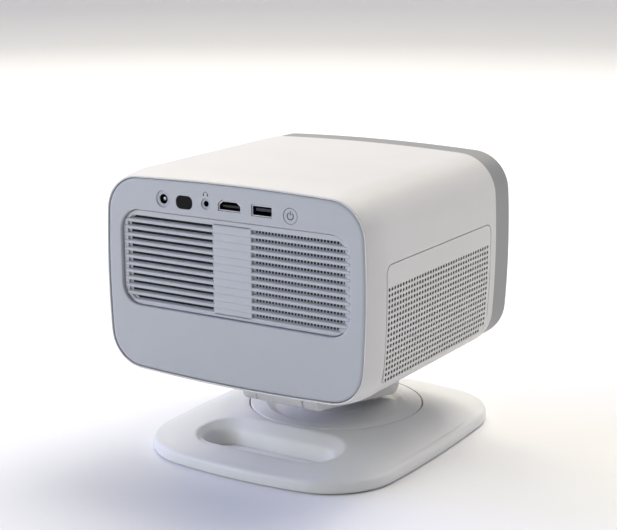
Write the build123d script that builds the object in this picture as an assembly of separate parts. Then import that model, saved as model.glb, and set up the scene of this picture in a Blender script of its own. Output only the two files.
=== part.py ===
from build123d import *

import os
from dataclasses import dataclass
from math import atan2, cos, hypot, pi, sin, sqrt

# A table projector: a rounded box head on a folding arm, on a turntable, on a heavy base with a hand slot.
# Millimetres. +Z is up, the lens looks along -Y, the ports and vents are on the +Y face.
# The origin is on the table, under the middle of the base. The model is at its level rest position.
# "Left" and "right" are as seen by someone standing behind the ports: right is -X.

# Clearances
SHAFT_FIT = 0.05            # radial running clearance of a shaft in its bore
PRESS_GAP = 0.05            # radial clearance of a pin, screw or spindle fixed in its own body
SKIN_GAP = 0.35             # visible line between two covers of one body
MOVING_GAP = 0.40           # side clearance between parts that turn against each other

# Base outline, rim and crown
BASE_HALF_WIDTH = 85.6
BASE_HALF_DEPTH = 103.5
BASE_SIDE_RADIUS = 900.0
BASE_END_RADIUS = 310.0
BASE_CORNER_RADIUS = 46.0
FOOT_HEIGHT = 0.8
BASE_PLATE_THICKNESS = 1.7
BASE_PLATE_INSET = 0.8
BASE_WALL_TOP = 5.6
CREST_HEIGHT = 8.6
CREST_INSET = 4.6
CROWN_HEIGHT = 15.8
WEIGHT_THICKNESS = 2.9
WEIGHT_INSET = 3.4
FOOT_RADIUS = 9.0
FOOT_INSET_X = 30.0
FOOT_INSET_Y = 24.0

# Hand slot through the base, which flares towards its top edge
SLOT_CENTRE_Y = 65.0
SLOT_WIDTH = 98.0
SLOT_DEPTH = 39.0
SLOT_EDGE_Z = 12.3
SLOT_LIP = 3.0
SLOT_LIP_DROP = 1.5
SLOT_THROAT = 5.2
SLOT_THROAT_DROP = 4.3
SLOT_FOOT = 7.5
SLOT_WALL = 3.0

# Swivel bearing and turntable
SWIVEL_Y = -15.3
TURNTABLE_RADIUS = 55.6
TURNTABLE_THICKNESS = 7.1
DISH_RADIUS = 45.0
DISH_DEPTH = 3.0
DISH_WALL = 3.2
TURNTABLE_GROOVE = 0.8
SLIP_RING_THICKNESS = 0.9
SLIP_RING_INNER = 30.0
SLIP_RING_OUTER = 50.0
SPINDLE_RADIUS = 11.0
SPINDLE_FLANGE_RADIUS = 15.0
SPINDLE_FLANGE_THICKNESS = 1.5
SWIVEL_WASHER_RADIUS = 17.0
SWIVEL_WASHER_THICKNESS = 1.2
SWIVEL_BOLT_RADIUS = 5.0
SWIVEL_BOLT_HEIGHT = 1.6

# Folding arm with a hinge at each end
ARM_HALF_WIDTH = 27.1
KNUCKLE_HALF_WIDTH = 16.5
LIFT_Y = -44.0
LIFT_Z = 24.6
LIFT_KNUCKLE_RADIUS = 8.0
TILT_Y = 42.2
TILT_Z = 42.0
TILT_KNUCKLE_RADIUS = 11.0
HINGE_PIN_RADIUS = 4.0
PIN_END_WALL = 2.6
ARM_EDGE = 1.0
LIFT_RELIEF = 13.0
NECK_FRONT = 7.0
NECK_REAR = 8.0
LEAF_HALF_WIDTH = 32.0
LEAF_HALF_DEPTH = 24.0
LEAF_THICKNESS = 2.5
LEAF_LIFT = 0.8
BOSS_X = 26.0
BOSS_Y = 17.0
TILT_RELIEF = 13.4

# Head shell
HEAD_HALF_WIDTH = 92.7
HEAD_WIDEST_Z = 119.7
HEAD_SIDE_RADIUS = 569.0
HEAD_TOP_Z = 180.2
HEAD_TOP_RADIUS = 1503.0
HEAD_BOTTOM_Z = 53.7
HEAD_BOTTOM_RADIUS = 1291.0
HEAD_CORNER_RADIUS = 25.5
HEAD_WALL = 2.5
HEAD_REAR_Y = 102.7
HEAD_TUCK = 2.8             # how far the shell draws in towards its rear rim
HEAD_TUCK_LENGTH = 22.0
RIM_WIDTH = 0.95            # shell seen round the rear panel
REAR_PANEL_THICKNESS = 3.2
RIM_CHAMFER = 0.45

# Front ring, window and its frame
RING_REAR_Y = -54.2
FRONT_Y = -79.2
RING_INSET = 0.8
RING_FILLET = 5.5
RING_FACE = 8.0
RING_TONGUE = 6.0
RING_TONGUE_WALL = 1.8
WINDOW_RECESS = 1.2
WINDOW_THICKNESS = 2.2
FRAME_THICKNESS = 2.6

# Lens, along Y
LENS_X = 0.0
LENS_Z = 121.0
LENS_BEZEL_RADIUS = 29.0
LENS_BEZEL_WIDTH = 2.6
LENS_BARREL_RADIUS = 25.0
LENS_BARREL_WALL = 2.2
LENS_BARREL_LENGTH = 52.0
LENS_RADIUS = 20.5
LENS_CURVE_RADIUS = 46.0
LENS_SETBACK = 6.0
LENS_EDGE = 4.0
REAR_LENS_RADIUS = 15.0
REAR_LENS_CURVE_RADIUS = 34.0
REAR_LENS_EDGE = 3.0
REAR_LENS_SETBACK = 17.0
CAMERA_MARGIN = 45.7
CAMERA_X = HEAD_HALF_WIDTH - CAMERA_MARGIN
CAMERA_RADIUS = 4.2
SENSOR_MARGIN = 30.7
SENSOR_X = HEAD_HALF_WIDTH - SENSOR_MARGIN
SENSOR_WIDTH = 9.0
SENSOR_HEIGHT = 4.6

# Speaker covers and drivers
COVER_CENTRE_Y = 19.15
COVER_LENGTH = 131.6
COVER_BOTTOM_Z = 69.05
COVER_TOP_Z = 137.55
COVER_CORNER = 5.0
DRIVER_Z = 98.0
DRIVER_RADIUS = 26.0
DRIVER_DEPTH = 24.0
DRIVER_SEAT_X = HEAD_HALF_WIDTH - 7.1
DRIVER_SEAT_WALL = 2.0

# Louvred vent in the rear panel
VENT_SIDE_MARGIN = 13.8
VENT_WIDTH = 2 * (HEAD_HALF_WIDTH - VENT_SIDE_MARGIN)
VENT_HEIGHT = 58.3
VENT_CENTRE_Z = 126.6
VENT_CORNER = 13.0
VENT_RECESS = 1.7
SLAT_ROWS = 12
SLAT_PITCH = 4.45
SLOT_GAP = 2.5
SLAT_DEPTH = 2.6
SLAT_SLOPE = 14.0           # degrees that each slat falls towards its outer edge
VENT_BRIDGE = 25.9          # closed middle between the two blocks of slots
VENT_MARGIN = 3.3
BRIDGE_GROOVE = 0.35

# Fins behind the right-hand louvres
FIN_PITCH = 2.147
FIN_COUNT = 27
FIN_THICKNESS = 0.5
FIN_DEPTH = 11.0
FIN_BASE_THICKNESS = 3.0
FIN_MARGIN = 3.0
FIN_GAP = 0.3
FIN_SIDE_MARGIN = 3.7
FIN_RIGHT_X = FIN_SIDE_MARGIN - VENT_WIDTH / 2
PIPE_THICKNESS = 3.5
PIPE_WIDTH = 8.0
PIPE_START = 5.2            # from the first fin to the end of each pipe
PIPE_REACH = 34.0
PIPE_LOW = 14.0
PIPE_HIGH = 20.0

# Fan behind the left-hand louvres
FAN_MARGIN = 34.9
FAN_X = VENT_WIDTH / 2 - FAN_MARGIN
FAN_SIZE = 58.0
FAN_DEPTH = 15.0
FAN_BORE = 27.2
FAN_ROTOR_RADIUS = 26.4
FAN_HUB_RADIUS = 11.0
FAN_BLADES = 9
FAN_SHAFT_RADIUS = 1.5

# Ports, button and window on the rear panel, standing on the board: x, z of each centre
BOARD_TOP_Z = 159.0
DC_JACK_MARGIN = 45.6
DC_JACK_AT = (HEAD_HALF_WIDTH - DC_JACK_MARGIN, BOARD_TOP_Z + 5.1)
IR_WINDOW_AT = (32.05, BOARD_TOP_Z + 4.55)
AUDIO_JACK_AT = (16.75, BOARD_TOP_Z + 5.3)
VIDEO_PORT_AT = (0.35, BOARD_TOP_Z + 5.5)
DATA_PORT_AT = (-21.65, BOARD_TOP_Z + 5.0)
BUTTON_AT = (-40.65, BOARD_TOP_Z + 4.3)
DC_JACK_RADIUS = 4.9
DC_PIN_RADIUS = 1.0
IR_WINDOW_SIZE = (11.4, 7.7)
AUDIO_JACK_RADIUS = 3.1
AUDIO_BORE_RADIUS = 1.75
VIDEO_PORT_SIZE = (15.2, 5.8)
VIDEO_PORT_CUT = (2.4, 2.0)
DATA_PORT_SIZE = (13.6, 6.2)
PORT_DEPTH = 14.0
SOCKET_WALL = 0.5
BUTTON_RADIUS = 4.6
BUTTON_TRAVEL = 0.6
BUTTON_GAP = 0.3
SWITCH_SIZE = (6.0, 4.0)
SWITCH_RISE = 3.0

# Circuit board under the ports
BOARD_THICKNESS = 1.6
BOARD_RIGHT_MARGIN = 30.7
BOARD_LEFT_MARGIN = 32.7
BOARD_X = (BOARD_RIGHT_MARGIN - HEAD_HALF_WIDTH, HEAD_HALF_WIDTH - BOARD_LEFT_MARGIN)
BOARD_LENGTH = 66.0
BOARD_POST_INSET = 6.0
BOARD_POST_SETBACK = 26.0
BOARD_POST_SPAN = 32.0
CHIP_SIZE = 24.0
CHIP_HEIGHT = 4.0
CHIP_X = -2.0
CHIP_SETBACK = 30.0
MEMORY_SIZE = (8.0, 12.0)
MEMORY_HEIGHT = 1.2
MEMORY_X = 22.0
MEMORY_PITCH = 12.0
CAPACITOR_RADIUS = 4.0
CAPACITOR_HEIGHT = 9.0
CAPACITOR_X = -34.0
CAPACITOR_PITCH = 11.0

# Light engine
ENGINE_MARGIN = 34.7
ENGINE_X = (ENGINE_MARGIN - HEAD_HALF_WIDTH, 12.0)
ENGINE_Y = (-12.0, 44.0)
ENGINE_Z = (66.0, 146.0)
ENGINE_POST_RADIUS = 4.0


@dataclass(frozen=True)
class Outline:
    """Closed outline of eight tangent arcs, symmetric left to right."""

    half_width: float
    widest: float
    side_radius: float
    top: float
    top_radius: float
    bottom: float
    bottom_radius: float
    top_corner: float
    bottom_corner: float

    def inset(self, step):
        """The outline moved inwards by an even step all round."""
        return Outline(
            self.half_width - step,
            self.widest,
            self.side_radius - step,
            self.top - step,
            self.top_radius - step,
            self.bottom + step,
            self.bottom_radius - step,
            self.top_corner - step,
            self.bottom_corner - step,
        )

    def corner_centre(self, end_centre, end_radius, corner):
        """Centre of the corner arc that lies inside both its side arc and its end arc."""
        side_x = self.half_width - self.side_radius
        side_reach = self.side_radius - corner
        end_reach = end_radius - corner
        across = -side_x
        along = end_centre - self.widest
        gap = hypot(across, along)
        foot = (side_reach**2 - end_reach**2 + gap**2) / (2 * gap)
        rise = sqrt(side_reach**2 - foot**2)
        turn = 1 if end_centre < self.widest else -1
        x = side_x + (foot * across - turn * rise * along) / gap
        z = self.widest + (foot * along + turn * rise * across) / gap
        return x, z

    def face(self, plane):
        """The outline as a filled face on a plane."""
        top_centre = self.top - self.top_radius
        bottom_centre = self.bottom + self.bottom_radius
        upper = self.corner_centre(top_centre, self.top_radius, self.top_corner)
        lower = self.corner_centre(bottom_centre, self.bottom_radius, self.bottom_corner)
        side_x = self.half_width - self.side_radius
        a = along_ray((0, top_centre), upper, self.top_radius)
        b = along_ray((side_x, self.widest), upper, self.side_radius)
        c = along_ray((side_x, self.widest), lower, self.side_radius)
        d = along_ray((0, bottom_centre), lower, self.bottom_radius)
        ab = arc_middle(upper, a, b)
        cd = arc_middle(lower, c, d)
        mirror = [(-x, z) for x, z in (a, ab, b, c, cd, d)]
        edges = [
            ThreePointArc(mirror[0], (0, self.top), a),
            ThreePointArc(a, ab, b),
            ThreePointArc(b, (self.half_width, self.widest), c),
            ThreePointArc(c, cd, d),
            ThreePointArc(d, (0, self.bottom), mirror[5]),
            ThreePointArc(mirror[5], mirror[4], mirror[3]),
            ThreePointArc(mirror[3], (-self.half_width, self.widest), mirror[2]),
            ThreePointArc(mirror[2], mirror[1], mirror[0]),
        ]
        return plane * make_face(Wire([edge.edge() for edge in edges]))


def along_ray(start, through, distance):
    """Point at a distance from start on the ray through another point."""
    dx, dz = through[0] - start[0], through[1] - start[1]
    reach = hypot(dx, dz)
    return start[0] + dx * distance / reach, start[1] + dz * distance / reach


def arc_middle(centre, first, last):
    """Point halfway along the short arc between two points about a centre."""
    middle = ((first[0] + last[0]) / 2, (first[1] + last[1]) / 2)
    return along_ray(centre, middle, hypot(first[0] - centre[0], first[1] - centre[1]))


def blend(first, last, share):
    """Outline between two outlines, number by number."""
    names = Outline.__dataclass_fields__
    mixed = {n: getattr(first, n) * (1 - share) + getattr(last, n) * share for n in names}
    return Outline(**mixed)


def level(z):
    """Plan view plane at a height."""
    return Plane.XY.offset(z)


def upright(y):
    """Plane that faces the ports side, with local axes along X and Z."""
    return Plane(origin=(0, y, 0), x_dir=(1, 0, 0), z_dir=(0, -1, 0))


def slab(outline, low, high):
    """Outline in plan, between two heights."""
    return extrude(outline.face(level(low)), amount=high - low)


def prism(outline, front, rear):
    """Outline seen from behind, between two places along Y."""
    return extrude(outline.face(upright(rear)), amount=rear - front)


def block(x, y, z):
    """Box between pairs of coordinates."""
    centre = ((x[0] + x[1]) / 2, (y[0] + y[1]) / 2, (z[0] + z[1]) / 2)
    return Pos(*centre) * Box(x[1] - x[0], y[1] - y[0], z[1] - z[0])


def disc(radius, at, low, high):
    """Upright cylinder between two heights."""
    return Pos(at[0], at[1], (low + high) / 2) * Cylinder(radius, high - low)


def rod_x(radius, y, z, low, high):
    """Cylinder along X."""
    return Pos((low + high) / 2, y, z) * Rot(0, 90, 0) * Cylinder(radius, high - low)


def rod_y(radius, x, z, low, high):
    """Cylinder along Y."""
    return Pos(x, (low + high) / 2, z) * Rot(90, 0, 0) * Cylinder(radius, high - low)


def rounded_bar(size, corner, at, front, rear):
    """Rounded rectangle seen from behind, between two places along Y."""
    sketch = upright(rear) * Pos(at[0], at[1]) * RectangleRounded(size[0], size[1], corner)
    return extrude(sketch, amount=rear - front)


# Outlines that several pieces share
BASE = Outline(
    BASE_HALF_WIDTH,
    0.0,
    BASE_SIDE_RADIUS,
    BASE_HALF_DEPTH,
    BASE_END_RADIUS,
    -BASE_HALF_DEPTH,
    BASE_END_RADIUS,
    BASE_CORNER_RADIUS,
    BASE_CORNER_RADIUS,
)
RIM_PROFILE = ((0.0, 0.0), (0.14, 0.52), (0.5, 0.86), (1.0, 1.0))
DOME_PROFILE = ((0.0, 0.0), (0.12, 0.24), (0.33, 0.52), (0.66, 0.84), (1.0, 1.0))
BORE_RADIUS = TURNTABLE_RADIUS + TURNTABLE_GROOVE
CROWN_RADIUS = BORE_RADIUS + 2.0
CROWN = Outline(
    CROWN_RADIUS,
    SWIVEL_Y,
    CROWN_RADIUS + 3.0,
    SWIVEL_Y + CROWN_RADIUS,
    CROWN_RADIUS + 3.0,
    SWIVEL_Y - CROWN_RADIUS,
    CROWN_RADIUS + 3.0,
    CROWN_RADIUS - 5.0,
    CROWN_RADIUS - 5.0,
)
HEAD = Outline(
    HEAD_HALF_WIDTH,
    HEAD_WIDEST_Z,
    HEAD_SIDE_RADIUS,
    HEAD_TOP_Z,
    HEAD_TOP_RADIUS,
    HEAD_BOTTOM_Z,
    HEAD_BOTTOM_RADIUS,
    HEAD_CORNER_RADIUS,
    HEAD_CORNER_RADIUS,
)
HEAD_REAR = HEAD.inset(HEAD_TUCK)

# Heights in the base, from the table up
PLATE_TOP = FOOT_HEIGHT + BASE_PLATE_THICKNESS
WEIGHT_TOP = PLATE_TOP + WEIGHT_THICKNESS
TURNTABLE_UNDERSIDE = CROWN_HEIGHT - TURNTABLE_THICKNESS
SHELF_TOP = TURNTABLE_UNDERSIDE - SLIP_RING_THICKNESS
DISH_FLOOR = CROWN_HEIGHT - DISH_DEPTH

# Places along Y in the head
PANEL_FRONT_Y = HEAD_REAR_Y - REAR_PANEL_THICKNESS
VENT_FACE_Y = HEAD_REAR_Y - VENT_RECESS
VENT_REAR_Y = VENT_FACE_Y - SLAT_DEPTH
WINDOW_FRONT_Y = FRONT_Y + WINDOW_RECESS
WINDOW_REAR_Y = WINDOW_FRONT_Y + WINDOW_THICKNESS
FRAME_REAR_Y = WINDOW_REAR_Y + FRAME_THICKNESS
HEAD_FLOOR_Z = HEAD_BOTTOM_Z + HEAD_WALL


def hand_slot(grow):
    """Cutter for the rounded slot: two turned ends and the straight run between them."""
    reach = SLOT_DEPTH / 2 + grow
    section = [
        (reach + 3.0, SLOT_EDGE_Z + 4.0),
        (reach, SLOT_EDGE_Z),
        (reach - SLOT_LIP, SLOT_EDGE_Z - SLOT_LIP_DROP),
        (reach - SLOT_THROAT, SLOT_EDGE_Z - SLOT_THROAT_DROP),
        (reach - SLOT_FOOT, -1.0),
    ]
    half = [(0, section[0][1]), *section, (0, section[-1][1])]
    end = revolve(Plane.XZ * make_face(Polyline(*half, half[0])), Axis.Z)
    full = section + [(-r, z) for r, z in section[::-1]]
    run = (SLOT_WIDTH - SLOT_DEPTH) / 2
    straight = extrude(Plane.YZ.offset(-run) * make_face(Polyline(*full, full[0])), amount=2 * run)
    return Pos(0, SLOT_CENTRE_Y, 0) * (straight + Pos(run, 0, 0) * end + Pos(-run, 0, 0) * end)


def base_foot_places():
    """Where the rubber feet stand."""
    x, y = BASE_HALF_WIDTH - FOOT_INSET_X, BASE_HALF_DEPTH - FOOT_INSET_Y
    return [(sx * x, sy * y) for sx in (-1, 1) for sy in (-1, 1)]


def ramp(first, last, low, high, profile):
    """Ruled skin between two outlines through shares of the way in and of the rise."""
    faces = [blend(first, last, way).face(level(low + rise * (high - low))) for way, rise in profile]
    return loft(faces, ruled=True)


def base_shell():
    """Domed top cover with the bearing recess, the hand slot and a pocket for the weight."""
    inner = BASE.inset(CREST_INSET)
    shell = slab(BASE, PLATE_TOP, BASE_WALL_TOP)
    shell += ramp(BASE, inner, BASE_WALL_TOP, CREST_HEIGHT, RIM_PROFILE)
    shell += ramp(inner, CROWN, CREST_HEIGHT, CROWN_HEIGHT, DOME_PROFILE)
    shell -= disc(BORE_RADIUS, (0, SWIVEL_Y), SHELF_TOP, CROWN_HEIGHT + 1)
    shell -= disc(SPINDLE_RADIUS + 1.0, (0, SWIVEL_Y), 0, CROWN_HEIGHT)
    pocket = slab(BASE.inset(WEIGHT_INSET - SKIN_GAP), PLATE_TOP - 1, WEIGHT_TOP + 0.1)
    shell -= pocket - hand_slot(SLOT_WALL)
    return shell - hand_slot(0)


def base_weight():
    """Steel plate that fills the shell's pocket and carries the spindle."""
    plate = slab(BASE.inset(WEIGHT_INSET), PLATE_TOP, WEIGHT_TOP)
    plate -= hand_slot(SLOT_WALL + SKIN_GAP)
    return plate - disc(SPINDLE_RADIUS + PRESS_GAP, (0, SWIVEL_Y), 0, CROWN_HEIGHT)


def base_plate():
    """Thin bottom cover that shows as a strip under the shell."""
    plate = slab(BASE.inset(BASE_PLATE_INSET), FOOT_HEIGHT, PLATE_TOP)
    plate -= hand_slot(0)
    return plate - disc(SPINDLE_FLANGE_RADIUS + SKIN_GAP, (0, SWIVEL_Y), 0, PLATE_TOP)


def foot_pads():
    """Round rubber feet under the bottom plate."""
    return [disc(FOOT_RADIUS, place, 0, FOOT_HEIGHT) for place in base_foot_places()]


def swivel_spindle():
    """Flanged steel spindle, fixed in the weight plate."""
    at = (0, SWIVEL_Y)
    flange = disc(SPINDLE_FLANGE_RADIUS, at, PLATE_TOP - SPINDLE_FLANGE_THICKNESS, PLATE_TOP)
    return flange + disc(SPINDLE_RADIUS, at, PLATE_TOP, DISH_FLOOR + 0.2)


def swivel_slip_ring():
    """Low-friction ring that the turntable slides on."""
    ring = disc(SLIP_RING_OUTER, (0, SWIVEL_Y), SHELF_TOP, TURNTABLE_UNDERSIDE)
    return ring - disc(SLIP_RING_INNER, (0, SWIVEL_Y), 0, CROWN_HEIGHT)


def swivel_cap():
    """Washer and bolt head that keep the turntable on the spindle."""
    low = DISH_FLOOR + 0.2
    washer_top = low + SWIVEL_WASHER_THICKNESS
    bolt_top = washer_top + SWIVEL_BOLT_HEIGHT
    profile = Polyline(
        (0, low),
        (SWIVEL_WASHER_RADIUS, low),
        (SWIVEL_WASHER_RADIUS, washer_top - 0.4),
        (SWIVEL_WASHER_RADIUS - 0.4, washer_top),
        (SWIVEL_BOLT_RADIUS, washer_top),
        (SWIVEL_BOLT_RADIUS, bolt_top - 0.5),
        (SWIVEL_BOLT_RADIUS - 0.8, bolt_top),
        (0, bolt_top),
        (0, low),
    )
    cap = Pos(0, SWIVEL_Y) * revolve(Plane.XZ * make_face(profile), Axis.Z)
    socket = Pos(0, SWIVEL_Y) * level(washer_top + 0.4) * RegularPolygon(2.5, 6)
    return cap - extrude(socket, amount=SWIVEL_BOLT_HEIGHT)


def turntable_disc():
    """Turned plate with a shallow dish, and the middle knuckle of the lift hinge."""
    outer, top = TURNTABLE_RADIUS, CROWN_HEIGHT
    low = TURNTABLE_UNDERSIDE
    bore = SPINDLE_RADIUS + SHAFT_FIT
    profile = Polyline(
        (bore, low),
        (outer, low),
        (outer, top - 0.6),
        (outer - 0.6, top),
        (DISH_RADIUS, top),
        (DISH_RADIUS - 0.35 * DISH_WALL, top - 0.62 * DISH_DEPTH),
        (DISH_RADIUS - DISH_WALL, DISH_FLOOR),
        (bore, DISH_FLOOR),
        (bore, low),
    )
    body = revolve(Plane.XZ * make_face(profile), Axis.Z)
    body = Pos(0, SWIVEL_Y, 0) * body
    half = KNUCKLE_HALF_WIDTH
    radius = LIFT_KNUCKLE_RADIUS
    body += block((-half, half), (LIFT_Y - radius, LIFT_Y + radius), (DISH_FLOOR - 1, LIFT_Z))
    body += rod_x(radius, LIFT_Y, LIFT_Z, -half, half)
    body -= rod_x(HINGE_PIN_RADIUS + SHAFT_FIT, LIFT_Y, LIFT_Z, -half - 1, half + 1)
    return body


def tangent_bar(first, first_radius, second, second_radius):
    """Face round two circles and the straight lines that touch both."""
    dy, dz = second[0] - first[0], second[1] - first[1]
    reach = hypot(dy, dz)
    slope = atan2(dz, dy)
    lean = pi / 2 - atan2(first_radius - second_radius, sqrt(reach**2 - (first_radius - second_radius) ** 2))
    points = []
    for side in (1, -1):
        angle = slope + side * lean
        pair = [
            (first[0] + first_radius * cos(angle), first[1] + first_radius * sin(angle)),
            (second[0] + second_radius * cos(angle), second[1] + second_radius * sin(angle)),
        ]
        points += pair if side == 1 else pair[::-1]
    bar = make_face(Polyline(*points, points[0]))
    bar += Pos(*first) * Circle(first_radius)
    bar += Pos(*second) * Circle(second_radius)
    return bar


def lift_arm():
    """Cast arm with two ears at each end, rounded along its lower and upper edges."""
    half = ARM_HALF_WIDTH
    side = tangent_bar((LIFT_Y, LIFT_Z), LIFT_KNUCKLE_RADIUS, (TILT_Y, TILT_Z), TILT_KNUCKLE_RADIUS)
    arm = extrude(Plane.YZ.offset(-half) * side, amount=2 * half)
    rims = [edge for edge in arm.edges() if abs(abs(edge.center().X) - half) < 0.01]
    arm = chamfer(rims, ARM_EDGE)
    gap = KNUCKLE_HALF_WIDTH + MOVING_GAP
    arm -= rod_x(TILT_RELIEF, TILT_Y, TILT_Z, -gap, gap)
    arm -= rod_x(LIFT_RELIEF, LIFT_Y, LIFT_Z, -gap, gap)
    pin_half = half - PIN_END_WALL
    for y, z in ((TILT_Y, TILT_Z), (LIFT_Y, LIFT_Z)):
        arm -= rod_x(HINGE_PIN_RADIUS + PRESS_GAP, y, z, -pin_half, pin_half)
    return arm


def hinge_pin(y, z):
    """Steel pin fixed in the ears of the arm."""
    pin_half = ARM_HALF_WIDTH - PIN_END_WALL - 0.1
    pin = rod_x(HINGE_PIN_RADIUS, y, z, -pin_half, pin_half)
    return chamfer(pin.edges().filter_by(GeomType.CIRCLE), 0.6)


def leaf_boss_places():
    """Where the hinge leaf sits on the floor of the head."""
    return [(x, TILT_Y + y) for x in (-BOSS_X, BOSS_X) for y in (-BOSS_Y, BOSS_Y)]


LEAF_LOW = HEAD_FLOOR_Z + LEAF_LIFT
LEAF_HIGH = LEAF_LOW + LEAF_THICKNESS


def tilt_leaf():
    """Middle knuckle of the tilt hinge, with its neck and the plate inside the head."""
    half = KNUCKLE_HALF_WIDTH
    leaf = rod_x(TILT_KNUCKLE_RADIUS, TILT_Y, TILT_Z, -half, half)
    leaf += block((-half, half), (TILT_Y - NECK_FRONT, TILT_Y + NECK_REAR), (TILT_Z, LEAF_HIGH))
    x, y = (-LEAF_HALF_WIDTH, LEAF_HALF_WIDTH), (TILT_Y - LEAF_HALF_DEPTH, TILT_Y + LEAF_HALF_DEPTH)
    leaf += block(x, y, (LEAF_LOW, LEAF_HIGH))
    return leaf - rod_x(HINGE_PIN_RADIUS + SHAFT_FIT, TILT_Y, TILT_Z, -half - 1, half + 1)


def tuck_share(y):
    """How much of the tuck the shell has at a place along Y."""
    into = (y - (HEAD_REAR_Y - HEAD_TUCK_LENGTH)) / HEAD_TUCK_LENGTH
    return max(0.0, into) ** 2


def head_form(step, front, rear):
    """Solid form of the head, moved in by a step, tucked in towards the rear rim."""
    start = HEAD_REAR_Y - HEAD_TUCK_LENGTH
    straight = prism(HEAD.inset(step), front, start)
    stations = [start + HEAD_TUCK_LENGTH * share for share in (0.0, 0.3, 0.55, 0.78, 1.0)]
    faces = [HEAD.inset(step + HEAD_TUCK * tuck_share(y)).face(upright(y)) for y in stations]
    form = straight + loft(faces, ruled=True)
    if rear > HEAD_REAR_Y:
        form += prism(HEAD_REAR.inset(step), HEAD_REAR_Y, rear)
    return form


def cover_outline(grow):
    """Outline of a speaker cover, seen from the side."""
    height = COVER_TOP_Z - COVER_BOTTOM_Z
    centre = (COVER_CENTRE_Y, (COVER_TOP_Z + COVER_BOTTOM_Z) / 2)
    shape = RectangleRounded(COVER_LENGTH + 2 * grow, height + 2 * grow, COVER_CORNER + grow)
    return Pos(*centre) * shape


def board_post_places():
    """Posts that hang from the roof of the head and hold the board."""
    rear = HEAD_REAR_Y - BOARD_POST_SETBACK
    columns = (BOARD_X[0] + BOARD_POST_INSET, BOARD_X[1] - BOARD_POST_INSET)
    return [(x, y) for x in columns for y in (rear, rear - BOARD_POST_SPAN)]


def head_shell():
    """Moulded tube of the head with its side openings, bosses and posts."""
    shell = head_form(0.0, RING_REAR_Y, HEAD_REAR_Y)
    shell = chamfer(shell.edges().group_by(Axis.Y)[-1], RIM_CHAMFER)
    shell -= head_form(HEAD_WALL, RING_REAR_Y - 1, HEAD_REAR_Y - 1)
    shell -= prism(HEAD_REAR.inset(RIM_WIDTH), PANEL_FRONT_Y, HEAD_REAR_Y + 1)
    for side in (-1, 1):
        opening = Plane.YZ.offset(side * (HEAD_HALF_WIDTH - 20.0)) * cover_outline(SKIN_GAP)
        shell -= extrude(opening, amount=side * 30.0)
    neck = KNUCKLE_HALF_WIDTH + 0.5
    neck_y = (TILT_Y - NECK_FRONT - 0.5, TILT_Y + NECK_REAR + 0.5)
    shell -= block((-neck, neck), neck_y, (HEAD_BOTTOM_Z - 1, HEAD_FLOOR_Z + 1))
    for place in leaf_boss_places():
        shell += disc(4.0, place, HEAD_BOTTOM_Z + 1.2, LEAF_LOW)
    for place in board_post_places():
        shell += disc(3.0, place, BOARD_TOP_Z, HEAD_TOP_Z - HEAD_WALL * 0.6)
    for x in (ENGINE_X[0] + 8, ENGINE_X[1] - 8):
        for y in (ENGINE_Y[0] + 8, ENGINE_Y[0] + 20):
            shell += disc(ENGINE_POST_RADIUS, (x, y), HEAD_BOTTOM_Z + HEAD_WALL * 0.6, ENGINE_Z[0])
    return shell


def front_ring():
    """Darker ring round the front, with a tongue that enters the shell."""
    outer = prism(HEAD.inset(RING_INSET), FRONT_Y, RING_REAR_Y)
    outer = fillet(outer.edges().group_by(Axis.Y)[0], RING_FILLET)
    ring = outer - prism(HEAD.inset(RING_INSET + RING_FACE), FRONT_Y - 1, WINDOW_REAR_Y)
    ring -= prism(HEAD.inset(RING_INSET + RING_FACE + 1.2), WINDOW_REAR_Y - 1, FRAME_REAR_Y)
    ring -= prism(HEAD.inset(RING_INSET + 3.0), FRAME_REAR_Y, RING_REAR_Y + 1)
    tongue_outer = HEAD.inset(HEAD_WALL + 0.1)
    tongue = prism(tongue_outer, RING_REAR_Y - 2.0, RING_REAR_Y + RING_TONGUE)
    tongue -= prism(tongue_outer.inset(RING_TONGUE_WALL), RING_REAR_Y - 3.0, RING_REAR_Y + RING_TONGUE + 1)
    return ring + tongue


def front_window():
    """Glossy dark window that fills the ring, open round the lens."""
    edge = RING_INSET + RING_FACE + SKIN_GAP
    window = prism(HEAD.inset(edge), WINDOW_FRONT_Y, WINDOW_REAR_Y)
    window -= rod_y(LENS_BEZEL_RADIUS + 0.2, LENS_X, LENS_Z, FRONT_Y - 1, WINDOW_REAR_Y + 1)
    window -= rod_y(CAMERA_RADIUS + 0.3, CAMERA_X, LENS_Z, FRONT_Y - 1, WINDOW_REAR_Y + 1)
    size = (SENSOR_WIDTH + 0.4, SENSOR_HEIGHT + 0.4)
    window -= rounded_bar(size, size[1] / 2 - 0.1, (SENSOR_X, LENS_Z), FRONT_Y - 1, WINDOW_REAR_Y + 1)
    return window


def front_frame():
    """Inner frame that backs the window and steadies the lens."""
    frame = prism(HEAD.inset(RING_INSET + 3.2), FRAME_REAR_Y, FRAME_REAR_Y + 2.0)
    frame += prism(HEAD.inset(RING_INSET + RING_FACE + 1.4), WINDOW_REAR_Y, FRAME_REAR_Y)
    frame -= rod_y(LENS_BARREL_RADIUS + PRESS_GAP, LENS_X, LENS_Z, FRONT_Y - 1, FRAME_REAR_Y + 3)
    frame -= rod_y(CAMERA_RADIUS - 0.6, CAMERA_X, LENS_Z, FRONT_Y - 1, FRAME_REAR_Y + 3)
    return frame


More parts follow.
